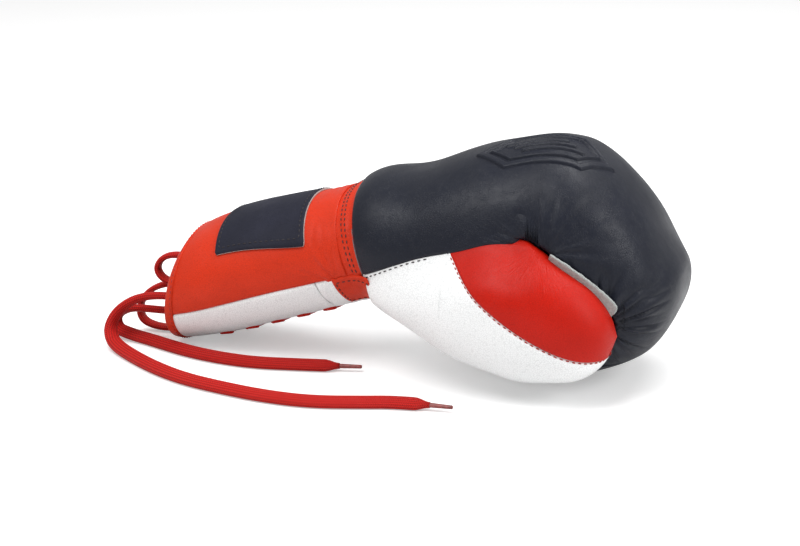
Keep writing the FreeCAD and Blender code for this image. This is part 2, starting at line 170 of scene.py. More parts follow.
class GloveStage(bpy.types.PropertyGroup):
    azimuth: FloatProperty(name="Azimuth", description="Camera's turn round the glove", default=np.radians(18),
                           subtype="ANGLE")
    elevation: FloatProperty(name="Elevation", description="Camera's height above the floor as an angle",
                             default=np.radians(17), subtype="ANGLE")
    distance: FloatProperty(name="Distance", description="From the camera to its target", default=1.15,
                            subtype="DISTANCE")
    lens: FloatProperty(name="Lens", description="Focal length in millimetres", default=91, subtype="NONE")
    sky: FloatProperty(name="Surroundings", description="Brightness of the surroundings", default=0.44)
    key: FloatProperty(name="Key light", description="Power of the large soft light, in watts", default=12.5)


# ---------------------------------------------------------------- numbers and surfaces
def spline(knots, values, at):
    """Natural cubic spline: a cubic from knot to knot, slope and bend continuous, no bend at the two ends."""
    knots, values, at = (np.asarray(v, float) for v in (knots, values, at))
    count, gap = len(knots), np.diff(knots)
    tail = (1,) * (values.ndim - 1)
    wide = gap.reshape(-1, *tail)
    slope = np.diff(values, axis=0) / wide
    system, right = np.eye(count), np.zeros_like(values)
    i = np.arange(1, count - 1)
    system[i, i - 1], system[i, i], system[i, i + 1] = gap[:-1], 2 * (gap[:-1] + gap[1:]), gap[1:]
    right[1:-1] = 6 * np.diff(slope, axis=0)
    bend = np.linalg.solve(system, right)
    k = np.clip(np.searchsorted(knots, at, side="right") - 1, 0, count - 2)
    d = (at - knots[k]).reshape(*at.shape, *tail)
    return (values[k] + d * (slope[k] - wide[k] * (2 * bend[k] + bend[k + 1]) / 6) + d ** 2 * bend[k] / 2
            + d ** 3 * (bend[k + 1] - bend[k]) / (6 * wide[k]))


def signed_power(value, power):
    return np.sign(value) * np.abs(value) ** power


def ease(t):
    """0 below 0, 1 above 1, and 3t^2 - 2t^3 between."""
    t = np.clip(t, 0, 1)
    return t * t * (3 - 2 * t)


def soft_max(a, b, blend):
    """Larger of two values with a rounded change-over: half of a + b + root of (a - b)^2 + blend^2."""
    return (a + b + np.sqrt((a - b) ** 2 + blend ** 2)) / 2


def unit(v):
    return v / np.maximum(np.linalg.norm(v, axis=-1, keepdims=True), 1e-9)


def noise(points, scale, seed=0):
    """Smooth noise from -1 to 1: a pseudo-random number at each whole-number corner, mixed with eased weights."""
    q = np.asarray(points) / scale + seed * 17.3
    cell = np.floor(q)
    f = q - cell
    f = f * f * (3 - 2 * f)
    total = 0
    for corner in np.ndindex(2, 2, 2):
        value = np.sin((cell + corner) @ np.array([127.1, 311.7, 74.7])) * 43758.5453
        total = total + (value - np.floor(value)) * np.where(corner, f, 1 - f).prod(-1)
    return total * 2 - 1


def run_length(line):
    """Distance along a line at each of its points."""
    return np.concatenate([[0], np.cumsum(np.linalg.norm(np.diff(line, axis=0), axis=1))])


def rings_at(table, s):
    """Rings between the table's, by a natural cubic spline over the path of their top and bottom points."""
    rows = np.asarray(table, float)
    lean = np.radians(rows[:, 3])
    reach = np.stack([np.sin(lean), -np.cos(lean)], 1) * rows[:, 4:5]
    ends = np.hstack([rows[:, [0, 2]] - reach, rows[:, [0, 2]] + reach])
    knots = run_length(ends)
    return spline(knots / knots[-1], rows, s)


def surface(table, s, a, grow=0.0):
    """Superellipse carried along a body. At angle a, across = cos(a)^(2/n) * half width and
    up = sin(a)^(2/n) * half height, both with their signs; the ring leans back by its angle.
    s is one number for each row of angles, or one for each angle."""
    ring = np.moveaxis(rings_at(table, s), -1, 0)
    if ring[0].ndim < np.ndim(a):
        ring = ring[..., None]
    x, y, z, lean, high, inner, outer, power = ring
    lean = np.radians(lean)
    wide = np.where(np.cos(a) > 0, outer, inner)
    across = signed_power(np.cos(a), 2 / power) * np.maximum(wide + grow, 0.3)
    up = signed_power(np.sin(a), 2 / power) * np.maximum(high + grow, 0.3)
    return np.stack(np.broadcast_arrays(x - up * np.sin(lean), y + across, z + up * np.cos(lean)), -1)


def ring_where(table, x):
    """Place along a body, from 0 to 1, where its ring's centre is at x."""
    s = np.linspace(0, 1, 801)
    return np.interp(x, rings_at(table, s)[:, 0], s)


def ring_along(table, distance, a, grow=0.0):
    """Place along the cuff where the point at angle a is that far from the rim's centre, along the cuff's axis."""
    distance, a = np.broadcast_arrays(np.asarray(distance, float), np.asarray(a, float))
    s = ring_where(table, AXIS_START[0] + distance * ALONG[0])
    rings = rings_at(table, np.array([0.0, 1.0]))
    total = (rings[1, 0] - rings[0, 0]) / ALONG[0]
    for _ in range(14):
        x, _, z, lean, high, _, _, power = np.moveaxis(rings_at(table, s), -1, 0)
        up = signed_power(np.sin(a), 2 / power) * (high + grow)
        lean = np.radians(lean)
        here = (x - up * np.sin(lean) - AXIS_START[0]) * ALONG[0] + (z + up * np.cos(lean) - AXIS_START[2]) * ALONG[2]
        s = s + (distance - here) / total * 0.8
    return s


def angle_at(table, s, level, side):
    """Angle at which each ring meets a seam. level gives the seam's z at x; the angle is the arcsine of
    (up / half height)^(n/2), taken on the outer side for side 1 and on the thumb side for side -1."""
    x, _, z, lean, high, _, _, power = rings_at(table, s).T
    lean, there = np.radians(lean), x
    for _ in range(8):
        up = np.clip((level(there) - z) / (high * np.cos(lean)), -1, 1)
        there = x - up * high * np.sin(lean)
    angle = np.arcsin(signed_power(up, power / 2))
    return angle if side > 0 else np.pi - angle


def rings_through(dense, x):
    """Numbers of the rings whose centres are at x, read from closely spaced rings."""
    return (np.interp(x, dense[:, 0], dense[:, i]) for i in range(1, 8))


def wall_at(table, x, z, side, grow=0.0):
    """y of a body's wall at (x, z): centre plus side * half width * (1 - (up / half height)^n)^(1/n) of the ring
    through that point. Beyond the body's outline it falls away outwards."""
    dense = rings_at(table, np.linspace(0, 1, 601))
    there = x
    for _ in range(4):
        y, zc, lean, high, inner, outer, power = rings_through(dense, there)
        lean = np.radians(lean)
        up = (z - zc) / np.cos(lean)
        there = x + up * np.sin(lean)
    share = np.abs(up) / (high + grow)
    wide = (outer if side > 0 else inner) + grow
    depth = (1 - np.minimum(share, 1) ** power) ** (1 / power) * wide
    past = np.maximum(share - 1, 0) * (high + grow)
    past = past + np.maximum(there - dense[-1, 0] - grow, 0) * 3
    return y + side * depth - side * 1.6 * past


def thumb_side_level(x):
    z = spline(*np.array(THUMB_SIDE_SEAM, float).T, x)
    z = np.minimum(z + 2.4 * np.exp(-((x - 204) / 13) ** 2), 86 - (x - 222) * 9)
    return np.maximum(z, ROLL_SEAM_Z)


def outer_side_level(x):
    z = spline(*np.array(OUTER_SIDE_SEAM, float).T, np.minimum(x, 222))
    return z - 6 * np.clip((x - 222) / 3, 0, 1)


def thumb_level(x):
    return spline(*np.array(THUMB_SEAM, float).T, x)


def hand_seams(s):
    """Angles of the fist's two seams: on the outer side, and on the thumb's side."""
    return angle_at(HAND, s, outer_side_level, 1), angle_at(HAND, s, thumb_side_level, -1)


def thumb_seams(s):
    """Angles of the seam between the thumb's red and white leather: on the near side, and on the fist's side."""
    return angle_at(THUMB, s, thumb_level, -1), angle_at(THUMB, s, thumb_level, 1)


def spaced(count, tight=0.85):
    """0 to 1 in steps that are smaller near both ends: t - tight * sin(2 pi t) / 2 pi."""
    t = np.linspace(0, 1, count)
    return t - tight * np.sin(2 * np.pi * t) / (2 * np.pi)


def crowded(count, place, width, strength):
    """0 to 1 in steps that are smaller round one place: the inverse of the sum of 1 + strength * bell curve."""
    t = np.linspace(0, 1, 2001)
    weight = np.cumsum(1 + strength * np.exp(-((t - place) / width) ** 2))
    weight = (weight - weight[0]) / (weight[-1] - weight[0])
    return np.interp(np.linspace(0, 1, count), weight, t)


def between(start, end, share):
    """Rows from start to end: start * (1 - share) + end * share."""
    return start[:, None] * (1 - share) + end[:, None] * share


def normals(p):
    """Outward normals of a grid: the step round the ring crossed with the step along the body."""
    return unit(np.cross(np.gradient(p, axis=1), np.gradient(p, axis=0)))


def border_distance(p, borders):
    """Distance to the nearest named border of a grid, measured along its rows and columns."""
    across = np.linalg.norm(np.diff(p, axis=1), axis=-1)
    down = np.linalg.norm(np.diff(p, axis=0), axis=-1)
    left = np.pad(np.cumsum(across, 1), ((0, 0), (1, 0)))
    first = np.pad(np.cumsum(down, 0), ((1, 0), (0, 0)))
    known = {"left": left, "right": left[:, -1:] - left, "first": first, "last": first[-1:] - first}
    return np.minimum.reduce([known[b] for b in borders])


def roll_in(p, depth, width, borders=("left", "right", "first", "last")):
    """Draws a panel's borders in at its seams by depth * (1 - distance / width)^2."""
    share = np.clip(1 - border_distance(p, borders) / width, 0, 1)
    return p - normals(p) * (depth * share ** 2)[..., None]


def line_beside(p, distance, border):
    """Line on a panel at a distance from its left or right border, with the normals there."""
    grid, facing = (p, normals(p)) if border == "left" else (p[:, ::-1], normals(p)[:, ::-1])
    step = np.linalg.norm(np.diff(grid, axis=1), axis=-1)
    total = np.pad(np.cumsum(step, 1), ((0, 0), (1, 0)))
    k = np.clip((total < distance).sum(1), 1, grid.shape[1] - 1)
    rows = np.arange(len(grid))
    return grid[rows, k], facing[rows, k]


# ---------------------------------------------------------------- meshes
def quads(rows, cols, closed=False):
    """Faces of a grid, counted round the ring and then along the body, so that they face outwards."""
    i = np.arange(rows - 1)[:, None] * cols
    j = np.arange(cols if closed else cols - 1)[None, :]
    k = (j + 1) % cols
    return np.stack([i + j, i + k, i + cols + k, i + cols + j], -1).reshape(-1, 4)


def joined(parts):
    """Several (points, faces) as one."""
    points = [p.reshape(-1, 3) for p, _ in parts]
    starts = np.cumsum([0] + [len(p) for p in points[:-1]])
    return np.concatenate(points), np.concatenate([f + s for (_, f), s in zip(parts, starts)])


def shell(outer, inner):
    """Closed solid between two grids of the same size: outer face, inner face turned over, and the four borders.
    The borders' faces come last."""
    rows, cols = outer.shape[:2]
    index = np.arange(rows * cols).reshape(rows, cols)
    rim = np.concatenate([index[0, :-1], index[:-1, -1], index[-1, :0:-1], index[:0:-1, 0]])
    after = np.roll(rim, -1)
    count = rows * cols
    faces = quads(rows, cols)
    sides = np.stack([after, rim, rim + count, after + count], -1)
    return np.concatenate([outer.reshape(-1, 3), inner.reshape(-1, 3)]), np.concatenate(
        [faces, faces[:, ::-1] + count, sides])


def make_mesh(name, points, faces, uv=None):
    """Mesh of numpy points in millimetres from the rim, placed in the frame in metres, with doubles merged."""
    points = (np.asarray(points, float).reshape(-1, 3) + PLACE) * 0.001
    faces = np.asarray(faces)
    mesh = bpy.data.meshes.new(name)
    mesh.vertices.add(len(points))
    mesh.vertices.foreach_set("co", points.astype(np.float32).ravel())
    mesh.loops.add(faces.size)
    mesh.loops.foreach_set("vertex_index", faces.astype(np.int32).ravel())
    mesh.polygons.add(len(faces))
    mesh.polygons.foreach_set("loop_start", np.arange(0, faces.size, 4, dtype=np.int32))
    mesh.polygons.foreach_set("use_smooth", np.ones(len(faces), bool))
    mesh.update(calc_edges=True)
    if uv is not None:
        layer = mesh.uv_layers.new(name="UVMap")
        layer.data.foreach_set("uv", uv.reshape(-1, 2)[faces.ravel()].astype(np.float32).ravel())
    work = bmesh.new()
    work.from_mesh(mesh)
    bmesh.ops.remove_doubles(work, verts=work.verts, dist=WELD)
    work.to_mesh(mesh)
    work.free()
    mesh.validate()
    return mesh


def add_piece(name, points, faces, finish, slot, node=(), body=None, blend=None, uv=None, thick=0.0, padded=None,
              second=None, second_faces=None):
    """Makes an object, gives it its finish, ties it to its body if it names one, and hides the CAD nodes it stands for.
    """
    mesh = make_mesh(name, points, faces, uv)
    mesh.materials.append(finish)
    piece = bpy.data.objects.new(name, mesh)
    bpy.context.scene.collection.objects.link(piece)
    if second is not None:
        mesh.materials.append(second)
        centres = np.zeros(len(mesh.polygons) * 3)
        mesh.polygons.foreach_get("center", centres)
        chosen = second_faces(centres.reshape(-1, 3) * 1000 - PLACE)
        mesh.polygons.foreach_set("material_index", chosen.astype(np.int32))
    if thick:
        wall = piece.modifiers.new("Leather", "SOLIDIFY")
        wall.thickness, wall.offset = thick, -1
    if body:
        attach(piece, body)
    else:
        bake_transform(piece)
    if node:
        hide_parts(*([node] if isinstance(node, str) else node))
    return piece


def add_grid(name, grid, *given, inward=False, **options):
    """Piece made of one grid, with its faces outwards or inwards."""
    faces = quads(*grid.shape[:2])
    return add_piece(name, grid, faces[:, ::-1] if inward else faces, *given, **options)


def placed(point):
    return tuple((np.array(point, float) + PLACE) * 0.001)


def thumb_blend():
    """Hand and thumb, with a point on the thumb's upper seam and one lower down: a blend for the thumb's leather to
    stay on the hand along the seam and follow the thumb lower down, which add_piece does not apply.
    """
    return "hand", "thumb", placed((176, -50, 77)), placed((191, -50, 35))


def wrist_blend():
    return "cuff", "hand", placed((115.5, 0, 67.5)), placed((123, 0, 70.2))


def read_at(at, reach, values):
    return np.stack([np.interp(at, reach, values[:, i]) for i in range(3)], -1)


def stitches(line, facing, pitch, length, width, lift=0.15):
    """Row of stitches: one short capsule, 5 rings of 6 points, turned along the line at equal steps."""
    reach = run_length(line)
    count = max(int(reach[-1] / pitch), 2)
    at = (np.arange(count) + 0.5) * reach[-1] / count
    spot, ahead, behind = (read_at(at + shift, reach, line) for shift in (0, 0.4, -0.4))
    up = unit(read_at(at, reach, facing))
    along = unit(ahead - behind)
    across = unit(np.cross(along, up))
    up = np.cross(across, along)
    u, v = np.linspace(0, np.pi, 5)[:, None], np.linspace(0, 2 * np.pi, 7)[None, :-1]
    ring = np.sin(u) ** 0.5
    shape = np.stack(np.broadcast_arrays(-np.cos(u) * length / 2, ring * np.cos(v) * width / 2,
                                         ring * np.sin(v) * width / 2 - 0.25 * width * np.cos(u) ** 2), -1)
    frames = np.stack([along, across, up], 1)
    points = (spot + up * lift)[:, None, :] + shape.reshape(-1, 3) @ frames
    faces = quads(5, 6, closed=True)[:, ::-1]
    return points.reshape(-1, 3), (faces[None] + np.arange(count)[:, None, None] * 30).reshape(-1, 4)


def sewn(line, facing, lift=0.15, pitch=1.0, share=0.62):
    """Stitches at the glove's own pitch and thickness."""
    sizes = bpy.context.scene.glove_sizes
    step = sizes.stitch_pitch * 1000 * pitch
    return stitches(line, facing, step, step * share, sizes.stitch_width * 1000, lift)


# ---------------------------------------------------------------- finishes
def add_node(tree, kind, inputs=(), **settings):
    made = tree.nodes.new(kind)
    for key, value in settings.items():
        setattr(made, key, value)
    for socket, value in dict(inputs).items():
        if isinstance(value, bpy.types.NodeSocket):
            tree.links.new(value, made.inputs[socket])
        else:
            made.inputs[socket].default_value = value
    return made


def maths(tree, operation, *values):
    return add_node(tree, "ShaderNodeMath", dict(enumerate(values)), operation=operation).outputs[0]


def fitted(tree, value, low, high, to_low=0.0, to_high=1.0):
    """Value moved from one range to another with eased ends."""
    inputs = {0: value, 1: low, 2: high, 3: to_low, 4: to_high}
    return add_node(tree, "ShaderNodeMapRange", inputs, interpolation_type="SMOOTHSTEP").outputs[0]


def mixed(tree, share, first, second):
    inputs = {0: share, 6: (*first, 1) if isinstance(first, tuple) else first,
              7: (*second, 1) if isinstance(second, tuple) else second}
    return add_node(tree, "ShaderNodeMix", inputs, data_type="RGBA").outputs[2]


def new_group(name, inputs, outputs):
    """Shader node group with float or vector inputs and float outputs, built once."""
    tree = bpy.data.node_groups.new(name, "ShaderNodeTree")
    for label, value in inputs.items():
        kind = "NodeSocketVector" if isinstance(value, tuple) else "NodeSocketFloat"
        tree.interface.new_socket(label, in_out="INPUT", socket_type=kind).default_value = value
    for label in outputs:
        tree.interface.new_socket(label, in_out="OUTPUT", socket_type="NodeSocketFloat")
    return tree, tree.nodes.new("NodeGroupInput").outputs, tree.nodes.new("NodeGroupOutput").inputs


def leather_grain():
    """Small rounded cells with creases between them, fine pores, and broad mottling. Height is in millimetres.
    Crease is 1 at the cells' edges: the mask for painted shade in the creases.
    """
    if "Leather grain" in bpy.data.node_groups:
        return bpy.data.node_groups["Leather grain"]
    tree, given, out = new_group("Leather grain", {"Cells": 900.0, "Depth": 0.05}, ("Height", "Mottle", "Crease"))
    place = tree.nodes.new("ShaderNodeTexCoord").outputs["Object"]
    wander = add_node(tree, "ShaderNodeTexNoise", {"Vector": place, "Scale": 260.0, "Detail": 1.0})
    shifted = add_node(tree, "ShaderNodeVectorMath", {0: wander.outputs["Color"], 1: (0.0012,) * 3, 2: place},
                       operation="MULTIPLY_ADD").outputs[0]
    cells = add_node(tree, "ShaderNodeTexVoronoi", {"Vector": shifted, "Scale": given["Cells"]},
                     feature="DISTANCE_TO_EDGE").outputs["Distance"]
    crease = fitted(tree, cells, 0.0, 0.16)
    pores = add_node(tree, "ShaderNodeTexNoise", {"Vector": place, "Scale": 2600.0, "Detail": 2.0}).outputs[0]
    patches = add_node(tree, "ShaderNodeTexNoise", {"Vector": place, "Scale": 190.0, "Detail": 3.0}).outputs[0]
    depth = maths(tree, "MULTIPLY", given["Depth"], fitted(tree, patches, 0.3, 0.7, 0.45, 1.25))
    height = maths(tree, "MULTIPLY_ADD", pores, 0.35, crease)
    broad = add_node(tree, "ShaderNodeTexNoise", {"Vector": place, "Scale": 38.0, "Detail": 4.0}).outputs[0]
    tree.links.new(maths(tree, "MULTIPLY", height, depth), out["Height"])
    tree.links.new(fitted(tree, broad, 0.25, 0.75), out["Mottle"])
    # Crease marks where leather() darkens the creases between cells as painted shade
    tree.links.new(maths(tree, "SUBTRACT", 1.0, crease), out["Crease"])
    return tree


def gathers():
    """Folds that fan out from a point on the glove's side: noise over the angle round the point, stretched along
    the way out, strongest at a chosen distance. Height is in millimetres."""
    if "Gathers" in bpy.data.node_groups:
        return bpy.data.node_groups["Gathers"]
    tree, given, out = new_group(
        "Gathers", {"Centre": (0.0, 0.0, 0.0), "Turn": 0.0, "Count": 20.0, "Near": 0.004, "Far": 0.04, "Depth": 0.2},
        ("Height",))
    place = tree.nodes.new("ShaderNodeTexCoord").outputs["Object"]
    away = add_node(tree, "ShaderNodeVectorMath", {0: place, 1: given["Centre"]}, operation="SUBTRACT").outputs[0]
    turned = add_node(tree, "ShaderNodeVectorRotate", {"Vector": away, "Angle": given["Turn"]},
                      rotation_type="Y_AXIS").outputs[0]
    part = add_node(tree, "ShaderNodeSeparateXYZ", {0: turned}).outputs
    flat = add_node(tree, "ShaderNodeCombineXYZ", {0: part[0], 2: part[2]}).outputs[0]
    far = add_node(tree, "ShaderNodeVectorMath", {0: flat}, operation="LENGTH").outputs["Value"]
    angle = maths(tree, "ARCTAN2", part[2], part[0])
    lookup = add_node(tree, "ShaderNodeCombineXYZ", {0: maths(tree, "MULTIPLY", angle, given["Count"]),
                                                     1: maths(tree, "MULTIPLY", far, 55.0)}).outputs[0]
    wave = add_node(tree, "ShaderNodeTexNoise", {"Vector": lookup, "Scale": 1.0, "Detail": 2.0}).outputs[0]
    fold = maths(tree, "POWER", maths(tree, "ABSOLUTE", maths(tree, "SUBTRACT", wave, 0.5)), 0.7)
    start = fitted(tree, far, 0.0, given["Near"])
    stop = fitted(tree, far, maths(tree, "MULTIPLY", given["Far"], 0.35), given["Far"], 1.0, 0.0)
    mask = maths(tree, "MULTIPLY", start, stop)
    mask = maths(tree, "MULTIPLY", mask, fitted(tree, part[1], -0.022, 0.004, 1.0, 0.0))
    tree.links.new(maths(tree, "MULTIPLY", maths(tree, "MULTIPLY", fold, mask), given["Depth"]), out["Height"])
    return tree


def cloth_weave():
    """Plain weave: threads over and under as the product of two waves across the cloth. Height is in millimetres.
    Shade is darker where a thread dips under, as painted shade, with random blotches of tone.
    """
    if "Cloth weave" in bpy.data.node_groups:
        return bpy.data.node_groups["Cloth weave"]
    tree, given, out = new_group("Cloth weave", {"Threads": 1400.0, "Depth": 0.08}, ("Height", "Shade"))
    place = tree.nodes.new("ShaderNodeTexCoord").outputs["Object"]
    part = add_node(tree, "ShaderNodeSeparateXYZ", {0: place}).outputs
    first = maths(tree, "SINE", maths(tree, "MULTIPLY", maths(tree, "ADD", part[0], part[2]), given["Threads"]))
    second = maths(tree, "SINE", maths(tree, "MULTIPLY", maths(tree, "SUBTRACT", part[1], part[2]), given["Threads"]))
    over = maths(tree, "MULTIPLY", first, second)
    blotch = add_node(tree, "ShaderNodeTexNoise", {"Vector": place, "Scale": 90.0, "Detail": 3.0}).outputs[0]
    tree.links.new(maths(tree, "MULTIPLY", over, given["Depth"]), out["Height"])
    # Shade: painted shade where the weave dips (over below 0), plus random blotches
    tree.links.new(maths(tree, "MULTIPLY_ADD", over, 0.25, fitted(tree, blotch, 0.2, 0.8, 0.25, 0.75)), out["Shade"])
    return tree


def lace_braid():
    """Herringbone braid from the lace's own map, in millimetres along and round it: slanted threads that turn back
    at each rib, rounded across. Height is in millimetres. Shade is that height, so the grooves get painted shade."""
    if "Lace braid" in bpy.data.node_groups:
        return bpy.data.node_groups["Lace braid"]
    tree, given, out = new_group("Lace braid", {"Rib": 1.5, "Thread": 1.25, "Depth": 0.35}, ("Height", "Shade"))
    spot = tree.nodes.new("ShaderNodeTexCoord").outputs["UV"]
    part = add_node(tree, "ShaderNodeSeparateXYZ", {0: spot}).outputs
    rib = maths(tree, "PINGPONG", part[1], given["Rib"])
    slant = maths(tree, "DIVIDE", maths(tree, "MULTIPLY_ADD", rib, 0.75, part[0]), given["Thread"])
    thread = maths(tree, "SUBTRACT", 1.0, maths(tree, "ABSOLUTE", maths(
        tree, "MULTIPLY_ADD", maths(tree, "FRACT", slant), 2.0, -1.0)))
    thread = maths(tree, "POWER", thread, 0.5)
    across = maths(tree, "DIVIDE", rib, given["Rib"])
    groove = maths(tree, "POWER", maths(tree, "SUBTRACT", 1.0, maths(tree, "ABSOLUTE", maths(
        tree, "MULTIPLY_ADD", across, 2.0, -1.0))), 0.35)
    height = maths(tree, "MULTIPLY", thread, groove)
    fuzz = add_node(tree, "ShaderNodeTexNoise", {"Vector": spot, "Scale": 3.0, "Detail": 3.0}).outputs[0]
    height = maths(tree, "MULTIPLY_ADD", fuzz, 0.15, height)
    tree.links.new(maths(tree, "MULTIPLY", height, given["Depth"]), out["Height"])
    # Shade is the height itself: painted shade in the grooves and between the threads
    tree.links.new(height, out["Shade"])
    return tree


def start_material(name, roughness, **sockets):
    material = bpy.data.materials.new(name)
    material.use_nodes = True
    tree = material.node_tree
    shader = tree.nodes["Principled BSDF"]
    shader.inputs["Roughness"].default_value = roughness
    for label, value in sockets.items():
        shader.inputs[label.replace("_", " ")].default_value = value
    return material, tree, shader


def lift(tree, shader, height):
    """Turns a height in millimetres into the surface's normal."""
    bump = add_node(tree, "ShaderNodeBump", {"Height": height, "Strength": 1.0, "Distance": 0.001})
    tree.links.new(bump.outputs[0], shader.inputs["Normal"])


def tones(colour, dark, light):
    return tuple(c * dark for c in colour), tuple(min(c * light, 1.0) for c in colour)


def leather(name, colour, roughness, cells, depth, folds, contrast, specular=0.16):
    """Dyed leather. Cells and mottling vary its colour, gloss and relief, and the creases between the cells get painted
    shade; folds are gathers beside a seam.
    """
    if name in bpy.data.materials:
        return bpy.data.materials[name]
    material, tree, shader = start_material(name, roughness, Specular_IOR_Level=specular)
    grain = add_node(tree, "ShaderNodeGroup", node_tree=leather_grain())
    grain.inputs["Cells"].default_value, grain.inputs["Depth"].default_value = cells, depth
    dark, light = tones(colour, 1 - contrast, 1 + contrast * 0.7)
    base = mixed(tree, grain.outputs["Mottle"], dark, light)
    # painted shade: the creases between the grain's cells darken towards 0.62 of the colour
    crease_shade = tones(colour, 0.62, 1)[0]
    base = mixed(tree, maths(tree, "MULTIPLY", grain.outputs["Crease"], 0.45), base, crease_shade)
    tree.links.new(base, shader.inputs["Base Color"])
    tree.links.new(fitted(tree, grain.outputs["Mottle"], 0.0, 1.0, roughness + 0.05, roughness - 0.05),
                   shader.inputs["Roughness"])
    height = grain.outputs["Height"]
    for centre, turn, count, near, far, fold in folds:
        fan = add_node(tree, "ShaderNodeGroup", node_tree=gathers())
        for label, value in zip(("Centre", "Turn", "Count", "Near", "Far", "Depth"),
                                (placed(centre), turn, count, near, far, fold)):
            fan.inputs[label].default_value = value
        height = maths(tree, "ADD", height, fan.outputs[0])
    lift(tree, shader, height)
    return material


def woven(name, colour, group, roughness, dark):
    """Cloth or braid: a weave group gives relief, and its Shade paints shade at the thread bottoms."""
    if name in bpy.data.materials:
        return bpy.data.materials[name]
    material, tree, shader = start_material(name, roughness, Sheen_Roughness=0.4, Specular_IOR_Level=0.15)
    weave = add_node(tree, "ShaderNodeGroup", node_tree=group())
    # painted shade: from dark times the colour at the thread bottoms up to 1.12 times it on the crests
    low, high = tones(colour, dark, 1.12)
    tree.links.new(mixed(tree, fitted(tree, weave.outputs["Shade"], 0.05, 0.95), low, high),
                   shader.inputs["Base Color"])
    lift(tree, shader, weave.outputs["Height"])
    return material


def speckled(name, colour, roughness, scale, depth, contrast):
    """Even stuff with a fine irregular surface: foam, thread, raw leather edge or shrunk sleeve.
    Its colour follows the bump's noise: painted shade in the dents, lighter on the rises.
    """
    if name in bpy.data.materials:
        return bpy.data.materials[name]
    material, tree, shader = start_material(name, roughness)
    place = tree.nodes.new("ShaderNodeTexCoord").outputs["Object"]
    fine = add_node(tree, "ShaderNodeTexNoise", {"Vector": place, "Scale": scale, "Detail": 4.0}).outputs[0]
    # painted shade: the same noise as the bump darkens the dents and lightens the rises
    dark, light = tones(colour, 1 - contrast, 1 + contrast)
    tree.links.new(mixed(tree, fitted(tree, fine, 0.3, 0.7), dark, light), shader.inputs["Base Color"])
    lift(tree, shader, maths(tree, "MULTIPLY", fine, depth))
    return material


CROTCH, TIP = (233, -50, 83), (264, -50, 47)

# Finish of each kind of piece, named as its colour in the sidebar: what makes it, the material's name, and numbers
FINISHES = {
    "navy": (leather, "Navy leather", 0.34, 1050.0, 0.05, (
        (CROTCH, 1.57, 15.0, 0.003, 0.055, 2.8), (TIP, 0.0, 13.0, 0.003, 0.060, 3.4)), 0.12, 0.2),
    "red": (leather, "Red leather", 0.42, 900.0, 0.05, (), 0.07),
    "thumb_red": (leather, "Thumb red leather", 0.42, 1000.0, 0.035, (
        ((231, -50, 88), 0.0, 13.0, 0.003, 0.034, 0.5),), 0.07),
    "white": (leather, "White leather", 0.45, 900.0, 0.008, (), 0.01),
    "patch": (leather, "Patch leather", 0.55, 800.0, 0.07, (), 0.2),
    "strap": (speckled, "Strap leather", 0.85, 900.0, 0.25, 0.12),
    "raw_edge": (speckled, "Raw leather edge", 0.9, 1400.0, 0.2, 0.3),
    "aglet": (speckled, "Lace tip", 0.35, 500.0, 0.05, 0.25),
    "foam": (speckled, "Foam", 0.9, 1500.0, 0.3, 0.25),
    "thread": (speckled, "Dark thread", 0.6, 2500.0, 0.08, 0.4),
    "red_thread": (speckled, "Red thread", 0.6, 2500.0, 0.08, 0.4),
    # the last number of lace and lining sets how dark their painted shade at the thread bottoms is
    "lace": (woven, "Lace", lace_braid, 0.5, 0.22),
    "lining": (woven, "Lining", cloth_weave, 0.85, 0.7),
}


def finish(kind):
    maker, name, *numbers = FINISHES[kind]
    return maker(name, tuple(getattr(bpy.context.scene.glove_colours, kind)), *numbers)


# ---------------------------------------------------------------- shapes that several pieces share
def on_floor(p, height=0.3, blend=0.8):
    """Nothing goes below the floor: z is the larger of itself and the height, rounded where they meet."""
    p = p.copy()
    p[..., 2] = soft_max(p[..., 2], height, blend)
    return p


def hand_form(p, inset=0.0):
    """Dents the hand where the thumb lies against it, cuts the fold under the fingers and flattens the underside."""
    x, y, z = np.moveaxis(p, -1, 0)
    beside = wall_at(THUMB, x, z, 1, THUMB_GAP + inset)
    under = ease((thumb_side_level(np.minimum(x, MEETING_X)) - z - 1) / 6)
    share = np.maximum(under, ease((x - 212) / 14))
    y = y + share * (soft_max(y, beside, 2.5) - y)
    z = z - 9.0 * ease((x - 236) / 44) * ease((z - 22) / 70) - ease((z - 60) / 30) * (
        3.2 * np.exp(-((x - 143) / 18) ** 2) + 2.0 * np.exp(-((x - 192) / 24) ** 2))
    z = soft_max(z, CREASE_Z + inset - np.abs(x - CREASE_X) * CREASE_Z / CREASE_HALF, 2.5)
    return on_floor(np.stack([x, y, z], -1), 0.25 + inset, 1.2)


def hand_waves(p):
    """Soft unevenness of padded leather, in millimetres outwards."""
    return 0.30 * noise(p, 31) + 0.10 * noise(p, 12, 3)


def pleats(p, centre, turn, count, near, far, depth, seed=0):
    """Folds fanning out from (x, z) on the thumb side: rounded crests with sharp valleys, as the size of a noise
    over the angle and the distance. They start at near and die out by far."""
    dx, dz = p[..., 0] - centre[0], p[..., 2] - centre[1]
    away = np.hypot(dx, dz)
    angle = np.arctan2(dz * np.cos(turn) - dx * np.sin(turn), dx * np.cos(turn) + dz * np.sin(turn))
    lookup = np.stack([angle * count, away / 24, np.zeros_like(away)], -1)
    wave = np.abs(noise(lookup, 1.0, seed)) ** 0.8 - 0.35
    mask = ease(away / near) * (1 - ease((away - 0.3 * far) / (0.7 * far))) * ease((-p[..., 1] - 16) / 16)
    return depth * wave * mask


